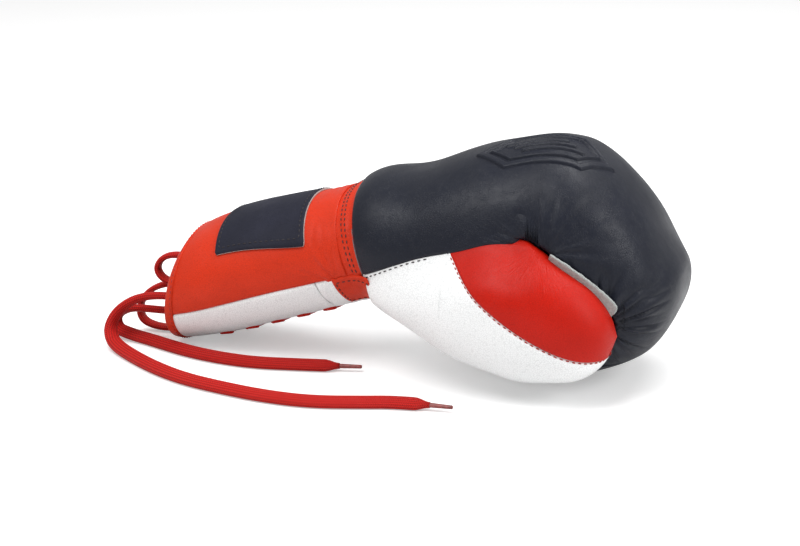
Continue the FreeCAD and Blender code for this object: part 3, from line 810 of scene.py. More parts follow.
def thumb_form(p, hidden=0.0):
    """Ends the thumb's base at the wrist, and draws its upper edge against the hand along the seam."""
    x, y, z = np.moveaxis(p, -1, 0)
    drop = thumb_side_level(np.minimum(x, MEETING_X)) - z
    pull = np.clip(1 - drop / 30, 0, 1) ** 2.2 * ease((240 - x) / 26)
    tuck = 0.9 + 1.3 * np.clip(-drop, 0, 2) + 2.4 * hidden
    y = y + pull * (wall_at(HAND, x, z, -1) + tuck - y)
    x = soft_max(x, HAND_START + 0.8 + (67.5 - z) * np.tan(WRIST_LEAN), 1.0)
    return on_floor(np.stack([x, y, z], -1), 0.3, 2.6)


def closed_ends(p, first=True, last=True):
    """Adds a row at each open end where all points meet in the ring's middle."""
    rows = [np.broadcast_to(p[:1].mean(1, keepdims=True), p[:1].shape)] if first else []
    rows += [p] + ([np.broadcast_to(p[-1:].mean(1, keepdims=True), p[-1:].shape)] if last else [])
    return np.concatenate(rows)


def seam_drop_angle(s):
    """How far below the side, as an angle, the cuff's seams lie: the arcsine of (drop / half height)^(n/2)."""
    ring = rings_at(CUFF, s)
    return np.arcsin((SEAM_DROP / ring[..., 4]) ** (ring[..., 7] / 2))


def underside_angle(table, s, y):
    """Angle past the bottom of the ring of a point at y on the underside."""
    ring = rings_at(table, s)
    return np.arcsin(signed_power(y / ring[..., 5], ring[..., 7] / 2))


def cuff_folds(p):
    """Creases across the cuff near the wrist, and soft unevenness, in millimetres outwards."""
    along = (p - AXIS_START) @ ALONG
    lookup = np.stack([along / 5.5, p[..., 1] / 34, p[..., 2] / 40], -1)
    crease = (np.abs(noise(lookup, 1.0, 5)) - 0.3) * ease((along - 86) / 18)
    spread = pleats(p, (113, 53), 3.1, 6, 5, 34, 1.2, 2) * (p[..., 0] < 113)
    return 0.20 * noise(p, 22, 2) + 0.75 * crease + spread


def flap_angles(s, side, start=0.0, stop=SLIT_HALF):
    """Angles of a flap's two long borders at each ring: the seam, and the lacing slit."""
    seam = seam_drop_angle(s) + start / 34
    slit = underside_angle(CUFF, s, stop)
    return (np.pi + seam, 1.5 * np.pi - slit) if side < 0 else (1.5 * np.pi + slit, 2 * np.pi - seam)


def rim_fold(angles, band):
    """Folded edge carried along the rim. Its section is a rounded nose: from the outside, depth = band *
    (1 - sin(q)^(2/3)) behind the rim, and inset from -0.5 outside to the wall's thickness inside."""
    q = np.linspace(0, np.pi, 25)[None, :]
    depth = band * (1 - np.sin(q) ** (2 / 3))
    inset = (CUFF_WALL - 0.4) / 2 - (CUFF_WALL + 0.7) / 2 * signed_power(np.cos(q), 2 / 3)
    s = ring_where(CUFF, RIM_X + depth) + 0 * angles[:, None]
    a = angles[:, None] + 0 * q
    nose = on_floor(surface(CUFF, s, a, -inset))
    pull = surface(CUFF, ring_where(CUFF, RIM_X + 0.80 * band) + 0 * angles, angles, 0.55)
    facing = unit(surface(CUFF, ring_where(CUFF, 10) + 0 * angles, angles, 3.0)
                  - surface(CUFF, ring_where(CUFF, 10) + 0 * angles, angles, 0.0))
    return nose, on_floor(pull), facing


def flipped(points, faces, side):
    """Shapes worked out for one side of the slit, mirrored in y for the outer side with their faces turned."""
    return (points, faces) if side < 0 else (points * (1, -1, 1), faces[:, ::-1])


def ribbon(path, across, width, thickness, lean=0.0, rise=0.0, fullness=2.6, around=20):
    """Flat section carried along a path: a superellipse, width * cos(b)^(2/n) across and thickness * sin(b)^(2/n)
    up, turned by lean. Returns the grid and its map in millimetres."""
    along = unit(np.gradient(path, axis=0))
    across = unit(across - (across * along).sum(1, keepdims=True) * along)
    up = np.cross(along, across)
    across, up = across * np.cos(lean) + up * np.sin(lean), up * np.cos(lean) - across * np.sin(lean)
    b = np.linspace(0, 2 * np.pi, around + 1)
    c, d = signed_power(np.cos(b), 2 / fullness), signed_power(np.sin(b), 2 / fullness)
    width, thickness = np.broadcast_to(width, len(path)), np.broadcast_to(thickness, len(path))
    grid = (path[:, None] + (0, 0, rise) + across[:, None] * (width[:, None] / 2 * c)[..., None]
            + up[:, None] * (thickness[:, None] / 2 * d)[..., None])
    reach = run_length(path)
    girth = np.hypot(np.diff(c) * width.max() / 2, np.diff(d) * thickness.max() / 2)
    girth = np.concatenate([[0], np.cumsum(girth)])
    chart = np.stack(np.broadcast_arrays(reach[:, None], girth[None, :]), -1)
    first, last = (path[end, None] + (0, 0, rise) + 0 * grid[end] for end in (slice(0, 1), slice(-1, None)))
    grid = np.concatenate([first, grid, last])
    return grid, np.concatenate([chart[:1], chart, chart[-1:]])


def slit_edge(along, s, y, grow):
    """Points on the cuff's underside at y, at one distance along the cuff. s is the place of the ring used."""
    y = np.atleast_1d(np.asarray(y, float))
    a = 1.5 * np.pi - underside_angle(CUFF, np.full(y.shape, s), y)
    return surface(CUFF, ring_along(CUFF, along, a), a, np.asarray(grow, float) + 0 * y)


def eyelet(along, s):
    """Metal ring through the flap: its profile, as radius and height, turned about the leather's normal."""
    centre = slit_edge(along, s, EYELET_Y, 0.0)[0]
    facing = unit(slit_edge(along, s, EYELET_Y, 3.0)[0] - centre)
    tangent = unit(slit_edge(along, s, EYELET_Y - 2, 0.0)[0] - slit_edge(along, s, EYELET_Y + 2, 0.0)[0])
    facing = unit(facing - (facing @ tangent) * tangent)
    profile = np.array([(2.35, -5.0), (2.35, -0.2), (2.5, 0.5), (2.9, 0.95), (3.4, 1.05), (3.9, 0.8), (4.2, 0.3),
                        (4.25, -0.8)])
    turn = np.linspace(0, 2 * np.pi, 25)[:, None]
    ring = np.cos(turn) * tangent + np.sin(turn) * np.cross(facing, tangent)
    eye = centre + ring[:, None] * profile[None, :, :1] + facing * profile[None, :, 1:]
    return on_floor(eye, 0.25, 0.3), quads(*eye.shape[:2])[:, ::-1]


def rung(along, s):
    """Half of one crossing of the lace, from its eyelet to the middle of the slit, with its map."""
    y = np.concatenate([np.linspace(EYELET_Y, EYELET_Y - 3.5, 8), np.linspace(EYELET_Y - 4.2, 0, 14)])
    path = on_floor(slit_edge(along, s, y, -2.5 + 2.45 * ease((EYELET_Y - y) / 3.4)), 1.6, 0.6)
    grid, chart = ribbon(path, np.tile(ALONG, (len(path), 1)), 3.6 + 4.0 * ease((EYELET_Y - y - 1) / 5), 1.5)
    return (grid, quads(*grid.shape[:2])), chart.reshape(-1, 2)


def read_route(name, points):
    """Smooth line with the route's points as its control points, and the points that it passes through."""
    curve = bpy.data.curves.new(name, "CURVE")
    curve.dimensions, curve.resolution_u = "3D", 16
    line = curve.splines.new("NURBS")
    line.points.add(len(points) - 1)
    line.points.foreach_set("co", np.c_[np.array(points, float), np.ones(len(points))].ravel())
    line.order_u, line.use_endpoint_u = 3, True
    holder = bpy.data.objects.new(name, curve)
    bpy.context.scene.collection.objects.link(holder)
    mesh = bpy.data.meshes.new_from_object(holder)
    found = np.zeros(len(mesh.vertices) * 3)
    mesh.vertices.foreach_get("co", found)
    bpy.data.objects.remove(holder)
    bpy.data.curves.remove(curve)
    bpy.data.meshes.remove(mesh)
    return found.reshape(-1, 3)


# ---------------------------------------------------------------- operators
class PieceOperator:
    """What the operators share."""
    bl_options = {"REGISTER", "UNDO"}


class GLOVE_OT_stage(PieceOperator, bpy.types.Operator):
    """Pale floor, soft light and the camera"""
    bl_idname = "glove.stage"
    bl_label = "Stage"

    def execute(self, context):
        stage = context.scene.glove_stage
        radius, turn = np.array([0.0, 4000.0])[:, None], np.linspace(0, 2 * np.pi, 65)[None, :]
        disc = np.stack(np.broadcast_arrays(radius * np.cos(turn), radius * np.sin(turn), 0 * turn), -1) - PLACE
        disc[..., 2] = 0
        mesh = make_mesh("floor", disc, quads(2, 65)[:, ::-1])
        white, tree, shader = start_material("Floor", 0.9, Specular_IOR_Level=0.1)
        place = tree.nodes.new("ShaderNodeTexCoord").outputs["Object"]
        cloud = add_node(tree, "ShaderNodeTexNoise", {"Vector": place, "Scale": 2.0}).outputs[0]
        tree.links.new(mixed(tree, cloud, (0.80, 0.80, 0.80), (0.82, 0.82, 0.82)), shader.inputs["Base Color"])
        seen = tree.nodes.new("ShaderNodeLightPath").outputs["Is Camera Ray"]
        tree.links.new(mixed(tree, seen, (0, 0, 0), (1, 1, 1)), shader.inputs["Emission Color"])
        shader.inputs["Emission Strength"].default_value = 0.36
        mesh.materials.append(white)
        floor = bpy.data.objects.new("floor", mesh)
        context.scene.collection.objects.link(floor)

        world = bpy.data.worlds.new("Surroundings")
        world.use_nodes = True
        world.node_tree.nodes["Background"].inputs["Color"].default_value = (1, 1, 1, 1)
        world.node_tree.nodes["Background"].inputs["Strength"].default_value = stage.sky
        context.scene.world = world
        target = Vector((-0.011, -0.0048, 0.052))
        for name, spot, size, power in (
                ("key", (-0.35, -0.55, 1.25), 0.9, stage.key), ("top", (0.35, 0.40, 1.1), 0.7, stage.key * 0.65),
                ("side", (1.1, -0.15, 0.75), 0.6, stage.key * 0.5)):
            light = bpy.data.lights.new(name, "AREA")
            light.shape, light.size, light.energy = "DISK", size, power
            lamp = bpy.data.objects.new(name, light)
            context.scene.collection.objects.link(lamp)
            lamp.location = spot
            lamp.rotation_euler = (target - Vector(spot)).to_track_quat("-Z", "Y").to_euler()

        camera = bpy.data.objects.new("camera", bpy.data.cameras.new("camera"))
        camera.data.lens, camera.data.sensor_width = stage.lens, 36
        a, e = stage.azimuth, stage.elevation
        back = Vector((np.sin(a) * np.cos(e), -np.cos(a) * np.cos(e), np.sin(e)))
        camera.location = target + back * stage.distance
        camera.rotation_euler = (-back).to_track_quat("-Z", "Y").to_euler()
        context.scene.collection.objects.link(camera)
        context.scene.camera = camera
        context.scene.view_settings.view_transform = "Standard"
        return {"FINISHED"}


class GLOVE_OT_laces(PieceOperator, bpy.types.Operator):
    """Two free lace ends with their tips, and the two loops standing out of the cuff"""
    bl_idname = "glove.laces"
    bl_label = "Laces"

    def execute(self, context):
        sizes = context.scene.glove_sizes
        width, thickness = sizes.lace_width * 1000, sizes.lace_thickness * 1000
        for name, route, tip in (
                ("lace_end_long", LONG_LACE, "aglet_long"), ("lace_end_short", SHORT_LACE, "aglet_short"),
                ("lace_loop_upper", UPPER_LOOP, None), ("lace_loop_lower", LOWER_LOOP, None)):
            line = read_route(name, route)
            path = line / 0.001 - PLACE
            reach = run_length(path)
            narrow = 1 - 0.66 * ease(1 - (reach[-1] - reach) / 9) if tip else np.ones(len(path))
            flat = 1 - 0.3 * ease(1 - (reach[-1] - reach) / 9) if tip else np.ones(len(path))
            wide = width * narrow * (1 if tip else 0.85) * (0.9 + 0.1 * ease(reach / 60))
            lean = 0.42 if tip else 0.0
            rise = 0.75 * ease((6 - path[:, 2]) / 3)[:, None] * np.array([0, 0, 1]) if tip else 0 * path
            across = np.tile([0.0, 1.0, 0.0], (len(path), 1))
            grid, chart = ribbon(path + rise, across, wide, thickness * flat * (1 if tip else 0.8), lean)
            pieces = []
            if tip:
                end = (path[-1] - path[-2]) / np.linalg.norm(path[-1] - path[-2])
                t = np.concatenate([[0, 0.02], np.linspace(0.06, 0.96, 12), [1.0]])
                sleeve = path[-1] + rise[-1] + end * (13.4 * t - 0.8)[:, None]
                shape = np.array([2.5, 3.0] + list(np.linspace(2.9, 2.3, 12)) + [1.6])
                body, _ = ribbon(sleeve, np.tile([0.0, 1.0, 0.0], (len(t), 1)), shape, shape * 0.85, lean, 0, 2.0, 16)
                pieces = [add_grid(tip + "_sleeve", body, finish("aglet"), "aglet", tip, "cuff")]
            lace = add_grid(name + "_braid", grid, finish("lace"), "lace", name, "cuff", uv=chart)
        return {"FINISHED"}


class GLOVE_OT_hand(PieceOperator, bpy.types.Operator):
    """Leather of the fist: the back over the knuckles, the rolled fingers and the palm"""
    bl_idname = "glove.hand"
    bl_label = "Fist leather"

    def execute(self, context):
        sizes = context.scene.glove_sizes
        seam, fold = sizes.seam_depth * 1000, sizes.fold_depth * 1000
        start = ring_where(HAND, HAND_START)
        s = start + (1 - start) * crowded(240, 0.72, 0.22, 1.0)
        outer, inner = hand_seams(s)
        share = crowded(236, 0.74, 0.20, 1.8)
        share = share - 0.6 * np.sin(2 * np.pi * share) / (2 * np.pi)
        back = surface(HAND, s, between(outer, inner, share))
        whole = (inner - outer > NEARLY_ROUND)[:, None]
        back = roll_in(back, np.where(whole, 0, seam), SEAM_ROLL, ("left", "right"))
        back = roll_in(back, 1.6, 3.0, ("first",))
        lift = hand_waves(back)
        lift = lift + pleats(back, (233, 83), 1.57, 5.5, 5, 50, fold * 2.3, 1)
        lift = lift + pleats(back, (264, 47), 0.0, 5.5, 4, 52, fold * 4.2, 4)
        back = hand_form(back + (normals(back) * lift[..., None]) * ease((1 - s) / 0.03)[:, None, None])
        back = closed_ends(back, first=False)
        add_grid("knuckle_back", back, finish("navy"), "navy_leather", "knuckle_shell", "hand",
                  padded=0.95)

        dense = np.linspace(0, 1, 800)
        ring = rings_at(HAND, dense)
        front = np.interp(ROLL_SEAM_Z, (ring[:, 2] - ring[:, 4])[ring[:, 0] > 240], dense[ring[:, 0] > 240])
        s = np.linspace(ring_where(HAND, CREASE_X + 1.5), front, 70)
        outer, inner = hand_seams(s)
        roll = surface(HAND, s, between(inner, outer + 2 * np.pi, spaced(90, 0.7)))
        roll = roll_in(roll, seam, SEAM_ROLL)
        roll = hand_form(roll + normals(roll) * hand_waves(roll)[..., None])
        add_grid("finger_roll", roll, finish("navy"), "navy_leather", "finger_roll_panel",
                  "hand", thick=sizes.leather, padded=0.9)

        s = np.linspace(start, ring_where(HAND, CREASE_X - 0.5), 130)
        outer, inner = hand_seams(s)
        palm = surface(HAND, s, between(inner, outer + 2 * np.pi, spaced(150, 0.75)))
        palm = roll_in(roll_in(palm, seam, SEAM_ROLL, ("right", "last")), 1.6, 3.0, ("first",))
        palm = roll_in(palm, 3.6, 7.0, ("left",))
        wrinkle = 0.5 * (np.abs(noise(palm * (1, 0.3, 0.4), 7, 8)) - 0.3) * ease((150 - palm[..., 0]) / 20)
        palm = hand_form(palm + normals(palm) * (hand_waves(palm) + wrinkle)[..., None])
        add_grid("palm", palm, finish("white"), "white_leather", "palm_panel", "hand",
                  thick=sizes.leather, padded=0.9)

        add_piece("palm_stitches", *sewn(*line_beside(palm, 2.0, "right")), finish("thread"), "white_leather", (),
                  "hand")
        return {"FINISHED"}


class GLOVE_OT_relief(PieceOperator, bpy.types.Operator):
    """Raised bars over the knuckles: a six-sided frame round three slanting ribs"""
    bl_idname = "glove.relief"
    bl_label = "Knuckle relief"

    def execute(self, context):
        height = context.scene.glove_sizes.relief * 1000
        cx, cy, length, width, point = 221.0, -8.5, 76.0, 37.0, 17.0
        x, y = np.meshgrid(np.linspace(cx - 41, cx + 41, 170), np.linspace(cy + 28, cy - 28, 120), indexing="ij")
        dense = rings_at(HAND, np.linspace(0, 1, 800))
        there = x
        for _ in range(4):
            yc, zc, lean, high, inner, outer, power = rings_through(dense, there)
            wide = np.where(y > yc, outer, inner)
            up = (1 - np.minimum(np.abs(y - yc) / wide, 1) ** power) ** (1 / power) * high
            there = x + up * np.sin(np.radians(lean))
        top = np.stack([x, y, zc + up * np.cos(np.radians(lean))], -1)
        turn = np.radians(9)
        wide, dy = (x - cx) * np.cos(turn) + (y - cy) * np.sin(turn), (y - cy) * np.cos(turn) - (x - cx) * np.sin(turn)
        dx = np.abs(wide)
        slant = ((dx - length / 2) * width / 2 + np.abs(dy) * point) / np.hypot(width / 2, point)
        depth = np.maximum(np.abs(dy) - width / 2, slant)
        ribs = [np.maximum(np.abs(wide + 0.9 * at) - 17, np.abs(dy - at) - 1.3) for at in (-5, 0, 5)]
        gap = np.minimum.reduce([np.abs(depth + 1.9) - 1.8, np.abs(depth + 6.6) - 0.9] + ribs)
        raised = -0.5 + (height + 0.5) * ease((0.9 - gap) / 1.7)
        plate = hand_form(top + normals(top) * (raised + hand_waves(top))[..., None])
        base = hand_form(top + normals(top) * (hand_waves(top) - 0.9)[..., None])
        add_piece("knuckle_bars", *shell(plate, base), finish("navy"), "navy_leather", "knuckle_relief", "hand")
        return {"FINISHED"}


class GLOVE_OT_thumb(PieceOperator, bpy.types.Operator):
    """Leather of the thumb: red over the top, white at the side and under it, with the sewing between them"""
    bl_idname = "glove.thumb"
    bl_label = "Thumb leather"

    def execute(self, context):
        sizes = context.scene.glove_sizes
        seam = sizes.seam_depth * 1000

        def leather_at(s, a):
            p = surface(THUMB, s, a)
            p = p + normals(p) * (0.28 * noise(p, 26, 6) + 0.08 * noise(p, 10, 7))[..., None]
            return p

        s = np.linspace(0, 1, 150)
        near, far = thumb_seams(s)
        a = between(near, far + 2 * np.pi, spaced(150, 0.7))
        side = leather_at(s, a)
        parted = (far + 2 * np.pi - near < NEARLY_ROUND)[:, None]
        side = roll_in(side, np.where(parted, seam, 0) * ease((1 - s) / 0.06)[:, None], 2.2, ("left", "right"))
        side = thumb_form(side, (np.cos(a) > 0) * 1.0)
        white = closed_ends(side)
        add_grid("thumb_side", white, finish("white"), "white_leather", "thumb_side_panel",
                  blend=thumb_blend(), padded=0.95)
        line, facing = line_beside(side, 0.7, "left")
        keep = parted[:, 0] & (line[:, 2] < 80) & (s < 0.96)
        add_piece("thumb_stitches", *sewn(line[keep], facing[keep]), finish("red_thread"), "red_leather", (),
                  blend=thumb_blend())

        first = s[np.argmax(parted[:, 0])]
        s = np.linspace(first, 1, 130)
        near, far = thumb_seams(s)
        a = between(far, near, spaced(150, 0.7))
        top = roll_in(leather_at(s, a), seam * ease((1 - s) / 0.06)[:, None], 2.2, ("left", "right"))
        ends = rings_at(THUMB, np.array([1.0]))[:, :3] + (0.4, 0, 0)
        lift = pleats(top, (231, 88), 0.0, 3.5, 4, 34, 0.35, 9)
        top = thumb_form(top + normals(top) * lift[..., None], (np.cos(a) > 0) * 1.0)
        top = np.concatenate([top, np.broadcast_to(ends[:, None], top[:1].shape)])
        add_grid("thumb_top", top, finish("thumb_red"), "red_leather", "thumb_top_panel",
                  blend=thumb_blend(), padded=0.95)

        x = np.linspace(129, 168, 110)
        z = thumb_side_level(np.minimum(x, MEETING_X)) - 1.3
        p = np.stack([x, wall_at(THUMB, x, z, -1), z], -1)
        p = thumb_form(p) - (0, 0.15, 0)
        facing = np.tile([0.0, -0.95, 0.3], (len(p), 1))
        add_piece("back_seam_stitches", *sewn(p, facing, 0.0), finish("thread"), "navy_leather", (),
                  blend=thumb_blend())
        return {"FINISHED"}


class GLOVE_OT_strap(PieceOperator, bpy.types.Operator):
    """Split-leather strap that holds the thumb to the fist"""
    bl_idname = "glove.strap"
    bl_label = "Thumb strap"

    def execute(self, context):
        edge = np.array([(236, -54, 84), (244, -54.5, 80), (254, -53.5, 73.5), (263, -52, 66.5), (270, -50.5, 60),
                         (273, -49, 55.5)], float)
        t = np.linspace(0, 1, 90)
        upper = spline(np.linspace(0, 1, len(edge)), edge, t)
        lower = upper + spline(np.array([0, 0.5, 1.0]), np.array([(-4, 3, -9), (-8, 3, -15), (-9, 0, -9)], float), t)
        half = (upper - lower) / 2 * np.sqrt(1 - 0.8 * ease((t - 0.9) / 0.1))[:, None]
        upper, lower = (upper + lower) / 2 + half, (upper + lower) / 2 - half
        share = np.linspace(0, 1, 18)[None, :, None]
        sheet = between(lower, upper, share)
        sheet = sheet + np.array([0, 1.0, 0]) * np.sin(np.pi * share)
        fray = 0.45 * noise(upper, 1.6, 2) + 0.35 * noise(upper, 5, 3)
        sheet[:, -1] += (0, 0, 1) * fray[:, None] + (0, 0, 0.2)
        facing = normals(sheet)
        facing = facing * np.sign(-facing[..., 1:2])
        outer, inner = sheet + facing * 0.5, sheet - facing * 0.6
        if normals(sheet)[45, 9, 1] > 0:
            outer, inner = outer[:, ::-1], inner[:, ::-1]
        points, faces = shell(outer, inner)
        add_piece("thumb_strap", points, faces, finish("strap"), "strap_leather", "thumb_lock_strap",
                  blend=("hand", "thumb", placed((255, -50, 76)), placed((246, -47, 60))))
        return {"FINISHED"}


class GLOVE_OT_cuff(PieceOperator, bpy.types.Operator):
    """Red back of the cuff, its folded rim, the gusset under the wrist and the tongue behind the slit"""
    bl_idname = "glove.cuff"
    bl_label = "Cuff"

    def execute(self, context):
        sizes = context.scene.glove_sizes
        seam, band = sizes.seam_depth * 1000, sizes.binding * 1000
        s = np.linspace(ring_where(CUFF, RIM_X + band - 0.8), ring_where(CUFF, CUFF_END), 150)
        drop = seam_drop_angle(s)
        back = surface(CUFF, s, between(-drop, np.pi + drop, spaced(150, 0.7)))
        back = roll_in(roll_in(back, seam * 0.7, 2.0, ("left", "right")), 0.6, 1.5, ("first",))
        back = back + normals(back) * cuff_folds(back)[..., None]
        add_grid("cuff_back", back, finish("red"), "red_leather", "cuff_back_panel", "cuff",
                  thick=sizes.leather, padded=0.8)

        s = np.linspace(ring_where(CUFF, RIM_X + band), ring_where(CUFF, CUFF_END), 50)
        a = between(-seam_drop_angle(s), np.pi + seam_drop_angle(s), np.linspace(0, 1, 70))
        add_piece("cuff_back_foam", *shell(surface(CUFF, s, a, -1.8), surface(CUFF, s, a, -CUFF_WALL + 1)),
                  finish("foam"), "foam", "cuff_back_pad", "cuff", padded=0.9)
        inside = surface(CUFF, s, a, -CUFF_WALL)
        add_grid("cuff_inside", inside, finish("lining"), "lining", "cuff_lining",
                  "cuff", thick=LINING, inward=True)

        nominal = np.linspace(float(ring_where(CUFF, 96)), float(ring_where(CUFF, CUFF_END)), 40)
        drop = seam_drop_angle(nominal)
        a = between(np.pi + drop, 2 * np.pi - drop, spaced(120, 0.6))
        first, last = ring_along(CUFF, FLAP_END + 0.2, a[0]), nominal[-1] + 0 * a[0]
        s = first + (last - first) * np.linspace(0, 1, 40)[:, None]
        outer = surface(CUFF, s, a)
        outer = roll_in(roll_in(outer, 0.9, 2.0, ("left", "right")), 0.35, 1.5, ("first",))
        outer = outer + normals(outer) * (0.7 * (np.abs(noise(outer * (1, 0.45, 0.7), 6.5, 4)) - 0.3))[..., None]
        add_piece("gusset", *shell(on_floor(outer), on_floor(surface(CUFF, s, a, -CUFF_WALL + 0.2))), finish("white"),
                  "white_leather", "cuff_gusset", "cuff", padded=0.7)

        s = np.linspace(ring_where(CUFF, 9), ring_where(CUFF, CUFF_END - 1), 70)
        half = underside_angle(CUFF, s, 23)
        a = between(1.5 * np.pi - half, 1.5 * np.pi + half, np.linspace(0, 1, 40))
        outer = surface(CUFF, s, a, -CUFF_WALL - 1.3)
        outer = outer + normals(outer) * (0.3 * noise(outer, 9, 3))[..., None]
        add_piece("tongue_pad", *shell(outer, surface(CUFF, s, a, -CUFF_WALL - 3.8)), finish("white"), "white_leather",
                  "tongue", "cuff", padded=0.6)

        drop = float(seam_drop_angle(np.array([0.0]))[0])
        nose, line, facing = rim_fold(np.linspace(-drop, np.pi + drop, 120), band)
        add_grid("rim_fold", nose, finish("red"), "red_leather", "cuff_binding", "cuff",
                  thick=sizes.leather)
        add_piece("rim_stitches", *sewn(line, facing), finish("red_thread"), "red_leather", (), "cuff")
        return {"FINISHED"}


class GLOVE_OT_flaps(PieceOperator, bpy.types.Operator):
    """The two white flaps each side of the lacing slit, with their padding, rim, eyelets and lacing"""
    bl_idname = "glove.flaps"
    bl_label = "Lacing flaps"

    def execute(self, context):
        sizes = context.scene.glove_sizes
        band = sizes.binding * 1000
        for name, side in (("thumb_side", -1), ("outer_side", 1)):
            body = "flap_" + name
            rows = np.linspace(0, 1, 110)[:, None]
            t = spaced(110, 0.6)[None, :]
            turn = np.clip((t - TURN_AT) / TURN_LENGTH, 0, 1)
            corner = np.minimum(turn / 0.4, 1) * np.pi / 2
            nominal = np.linspace(float(ring_where(CUFF, RIM_X + band - 0.8)), float(ring_where(CUFF, 92)), 110)
            seam, slit = flap_angles(nominal, -1, 0.008)
            a = (seam[:, None] + (slit - seam - TURN_ANGLE)[:, None] * np.minimum(t / TURN_AT, 1)
                 + np.sin(corner) * 2 / 46)
            grow = -2 * (1 - np.cos(corner)) - 4.6 * np.maximum(turn - 0.4, 0) / 0.6
            last = ring_along(CUFF, FLAP_END, a[-1])
            s = nominal[0] + (last - nominal[0])[None, :] * rows
            panel = surface(CUFF, s, a, grow)
            panel = roll_in(roll_in(panel, 0.9, 2.0, ("left",)), 0.35, 1.5, ("last",))
            panel = roll_in(panel, 0.6, 1.5, ("first",))
            wave = 0.3 * noise(panel, 18, 5) + 0.55 * (np.abs(noise(panel * (0.8, 0.5, 1), 7, 6)) - 0.3) * ease(
                ((panel - AXIS_START) @ ALONG - 70) / 20)
            panel = panel + normals(panel) * wave[..., None] * (turn < 1)[..., None]
            panel = on_floor(panel)
            add_piece(body + "_leather", *flipped(panel, quads(*panel.shape[:2]), side), finish("white"),
                      "white_leather", "flap_panel_" + name, body, thick=sizes.leather, padded=0.8)
            straight = turn[0] <= 0
            outer = on_floor(surface(CUFF, s, a, -1.6)[:, straight], 1.9)
            inner = on_floor(surface(CUFF, s, a, -CUFF_WALL + 0.1)[:, straight], 6.0)
            add_piece(body + "_foam", *flipped(*shell(outer, inner), side), finish("foam"), "foam",
                      "flap_pad_" + name, body, padded=0.9)

            first, last = (float(v[0]) for v in flap_angles(np.array([0.0]), -1))
            nose, line, facing = rim_fold(np.linspace(first, last, 60), band)
            add_piece(body + "_rim", *flipped(nose, quads(*nose.shape[:2]), side), finish("red"), "red_leather",
                      "flap_binding_" + name, body, thick=sizes.leather)
            mirror = (1, -side, 1)
            add_piece(body + "_stitches", *sewn(line * mirror, facing * mirror), finish("red_thread"),
                      "red_leather", (), body)

            places = list(zip(EYELET_ALONG, ring_where(CUFF, RIM_X + EYELET_ALONG * ALONG[0])))
            add_piece("eyelet_rings_" + name, *flipped(*joined([eyelet(*at) for at in places]), side),
                      finish("thumb_red"), "eyelet", "eyelets_" + name, body)
            rungs, charts = zip(*(rung(*at) for at in places))
            middle, edge = placed((60, 0, 14)), placed((60, side * 11.0, 14))
            add_piece("lacing_" + name, *flipped(*joined(rungs), side), finish("lace"), "lace", "lace_crossings",
                      blend=("cuff", body, middle, edge), uv=np.concatenate(charts))
        return {"FINISHED"}


class GLOVE_OT_wrist(PieceOperator, bpy.types.Operator):
    """Band that closes the wrist between cuff and fist, and the small stitched tab at the thumb's base"""
    bl_idname = "glove.wrist"
    bl_label = "Wrist band and tab"

    def execute(self, context):
        a = np.linspace(0, 2 * np.pi, 181)
        first, last = ring_along(WRIST, 100.0, a), ring_along(WRIST, 126.5, a)
        t = np.linspace(0, 1, 60)[:, None]
        s = first + (last - first) * t
        along = 100 + 26.5 * t
        grow = 0.95 * ease(t / 0.05) - 0.3 * ease((along - 113) / 4) - 2.0 * ease((along - 119) / 5)
        band = surface(WRIST, s, a + 0 * t, grow + 0 * a)
        lookup = np.stack([along / 3.6 + 0 * a, 3.4 * np.cos(a) + 0 * t, 3.4 * np.sin(a) + 0 * t], -1)
        crease = 0.4 * (np.abs(noise(lookup, 1.0, 7)) - 0.4) * ease((along - 108) / 4)
        band = on_floor(band + normals(band) * crease[..., None])
        red, white = finish("red"), finish("white")
        above = np.array([-ALONG[2], 0, ALONG[0]])
        add_grid("wrist_strip", band, red, "red_leather", "wrist_band", blend=wrist_blend(),
                  thick=context.scene.glove_sizes.leather, second=white,
                  second_faces=lambda c: (c - AXIS_START) @ above < -SEAM_DROP)
        over_top = slice(0, 101)
        facing = normals(band)
        for name, row in (("near", 38), ("far", 44)):
            add_piece("wrist_stitches_" + name, *sewn(band[row, over_top], facing[row, over_top]),
                      finish("thread"), "red_leather", (), blend=wrist_blend())

        half_height = 33.0
        low, top = (np.pi + np.arcsin((drop / half_height) ** 1.05) for drop in (28.5, 9.6))
        a = np.linspace(top, low, 50)
        first, last = ring_along(WRIST, 103.5, a), ring_along(WRIST, 127.5, a)
        s = first + (last - first) * np.linspace(0, 1, 60)[:, None]
        flat = surface(WRIST, s, a + 0 * s, 1.9)
        tab = roll_in(flat, 0.7, 1.6)
        base = surface(WRIST, s, a + 0 * s, 0.5)
        add_piece("tab", *shell(tab, base), red, "red_leather", "wrist_tab", blend=wrist_blend())
        facing = normals(flat)
        rows = [sewn(flat[3:, 6], facing[3:, 6]), sewn(flat[4, 6:-6], facing[4, 6:-6]),
                sewn(flat[3:, -7], facing[3:, -7])]
        add_piece("tab_stitches", *joined(rows), finish("thread"), "red_leather", (), blend=wrist_blend())
        return {"FINISHED"}


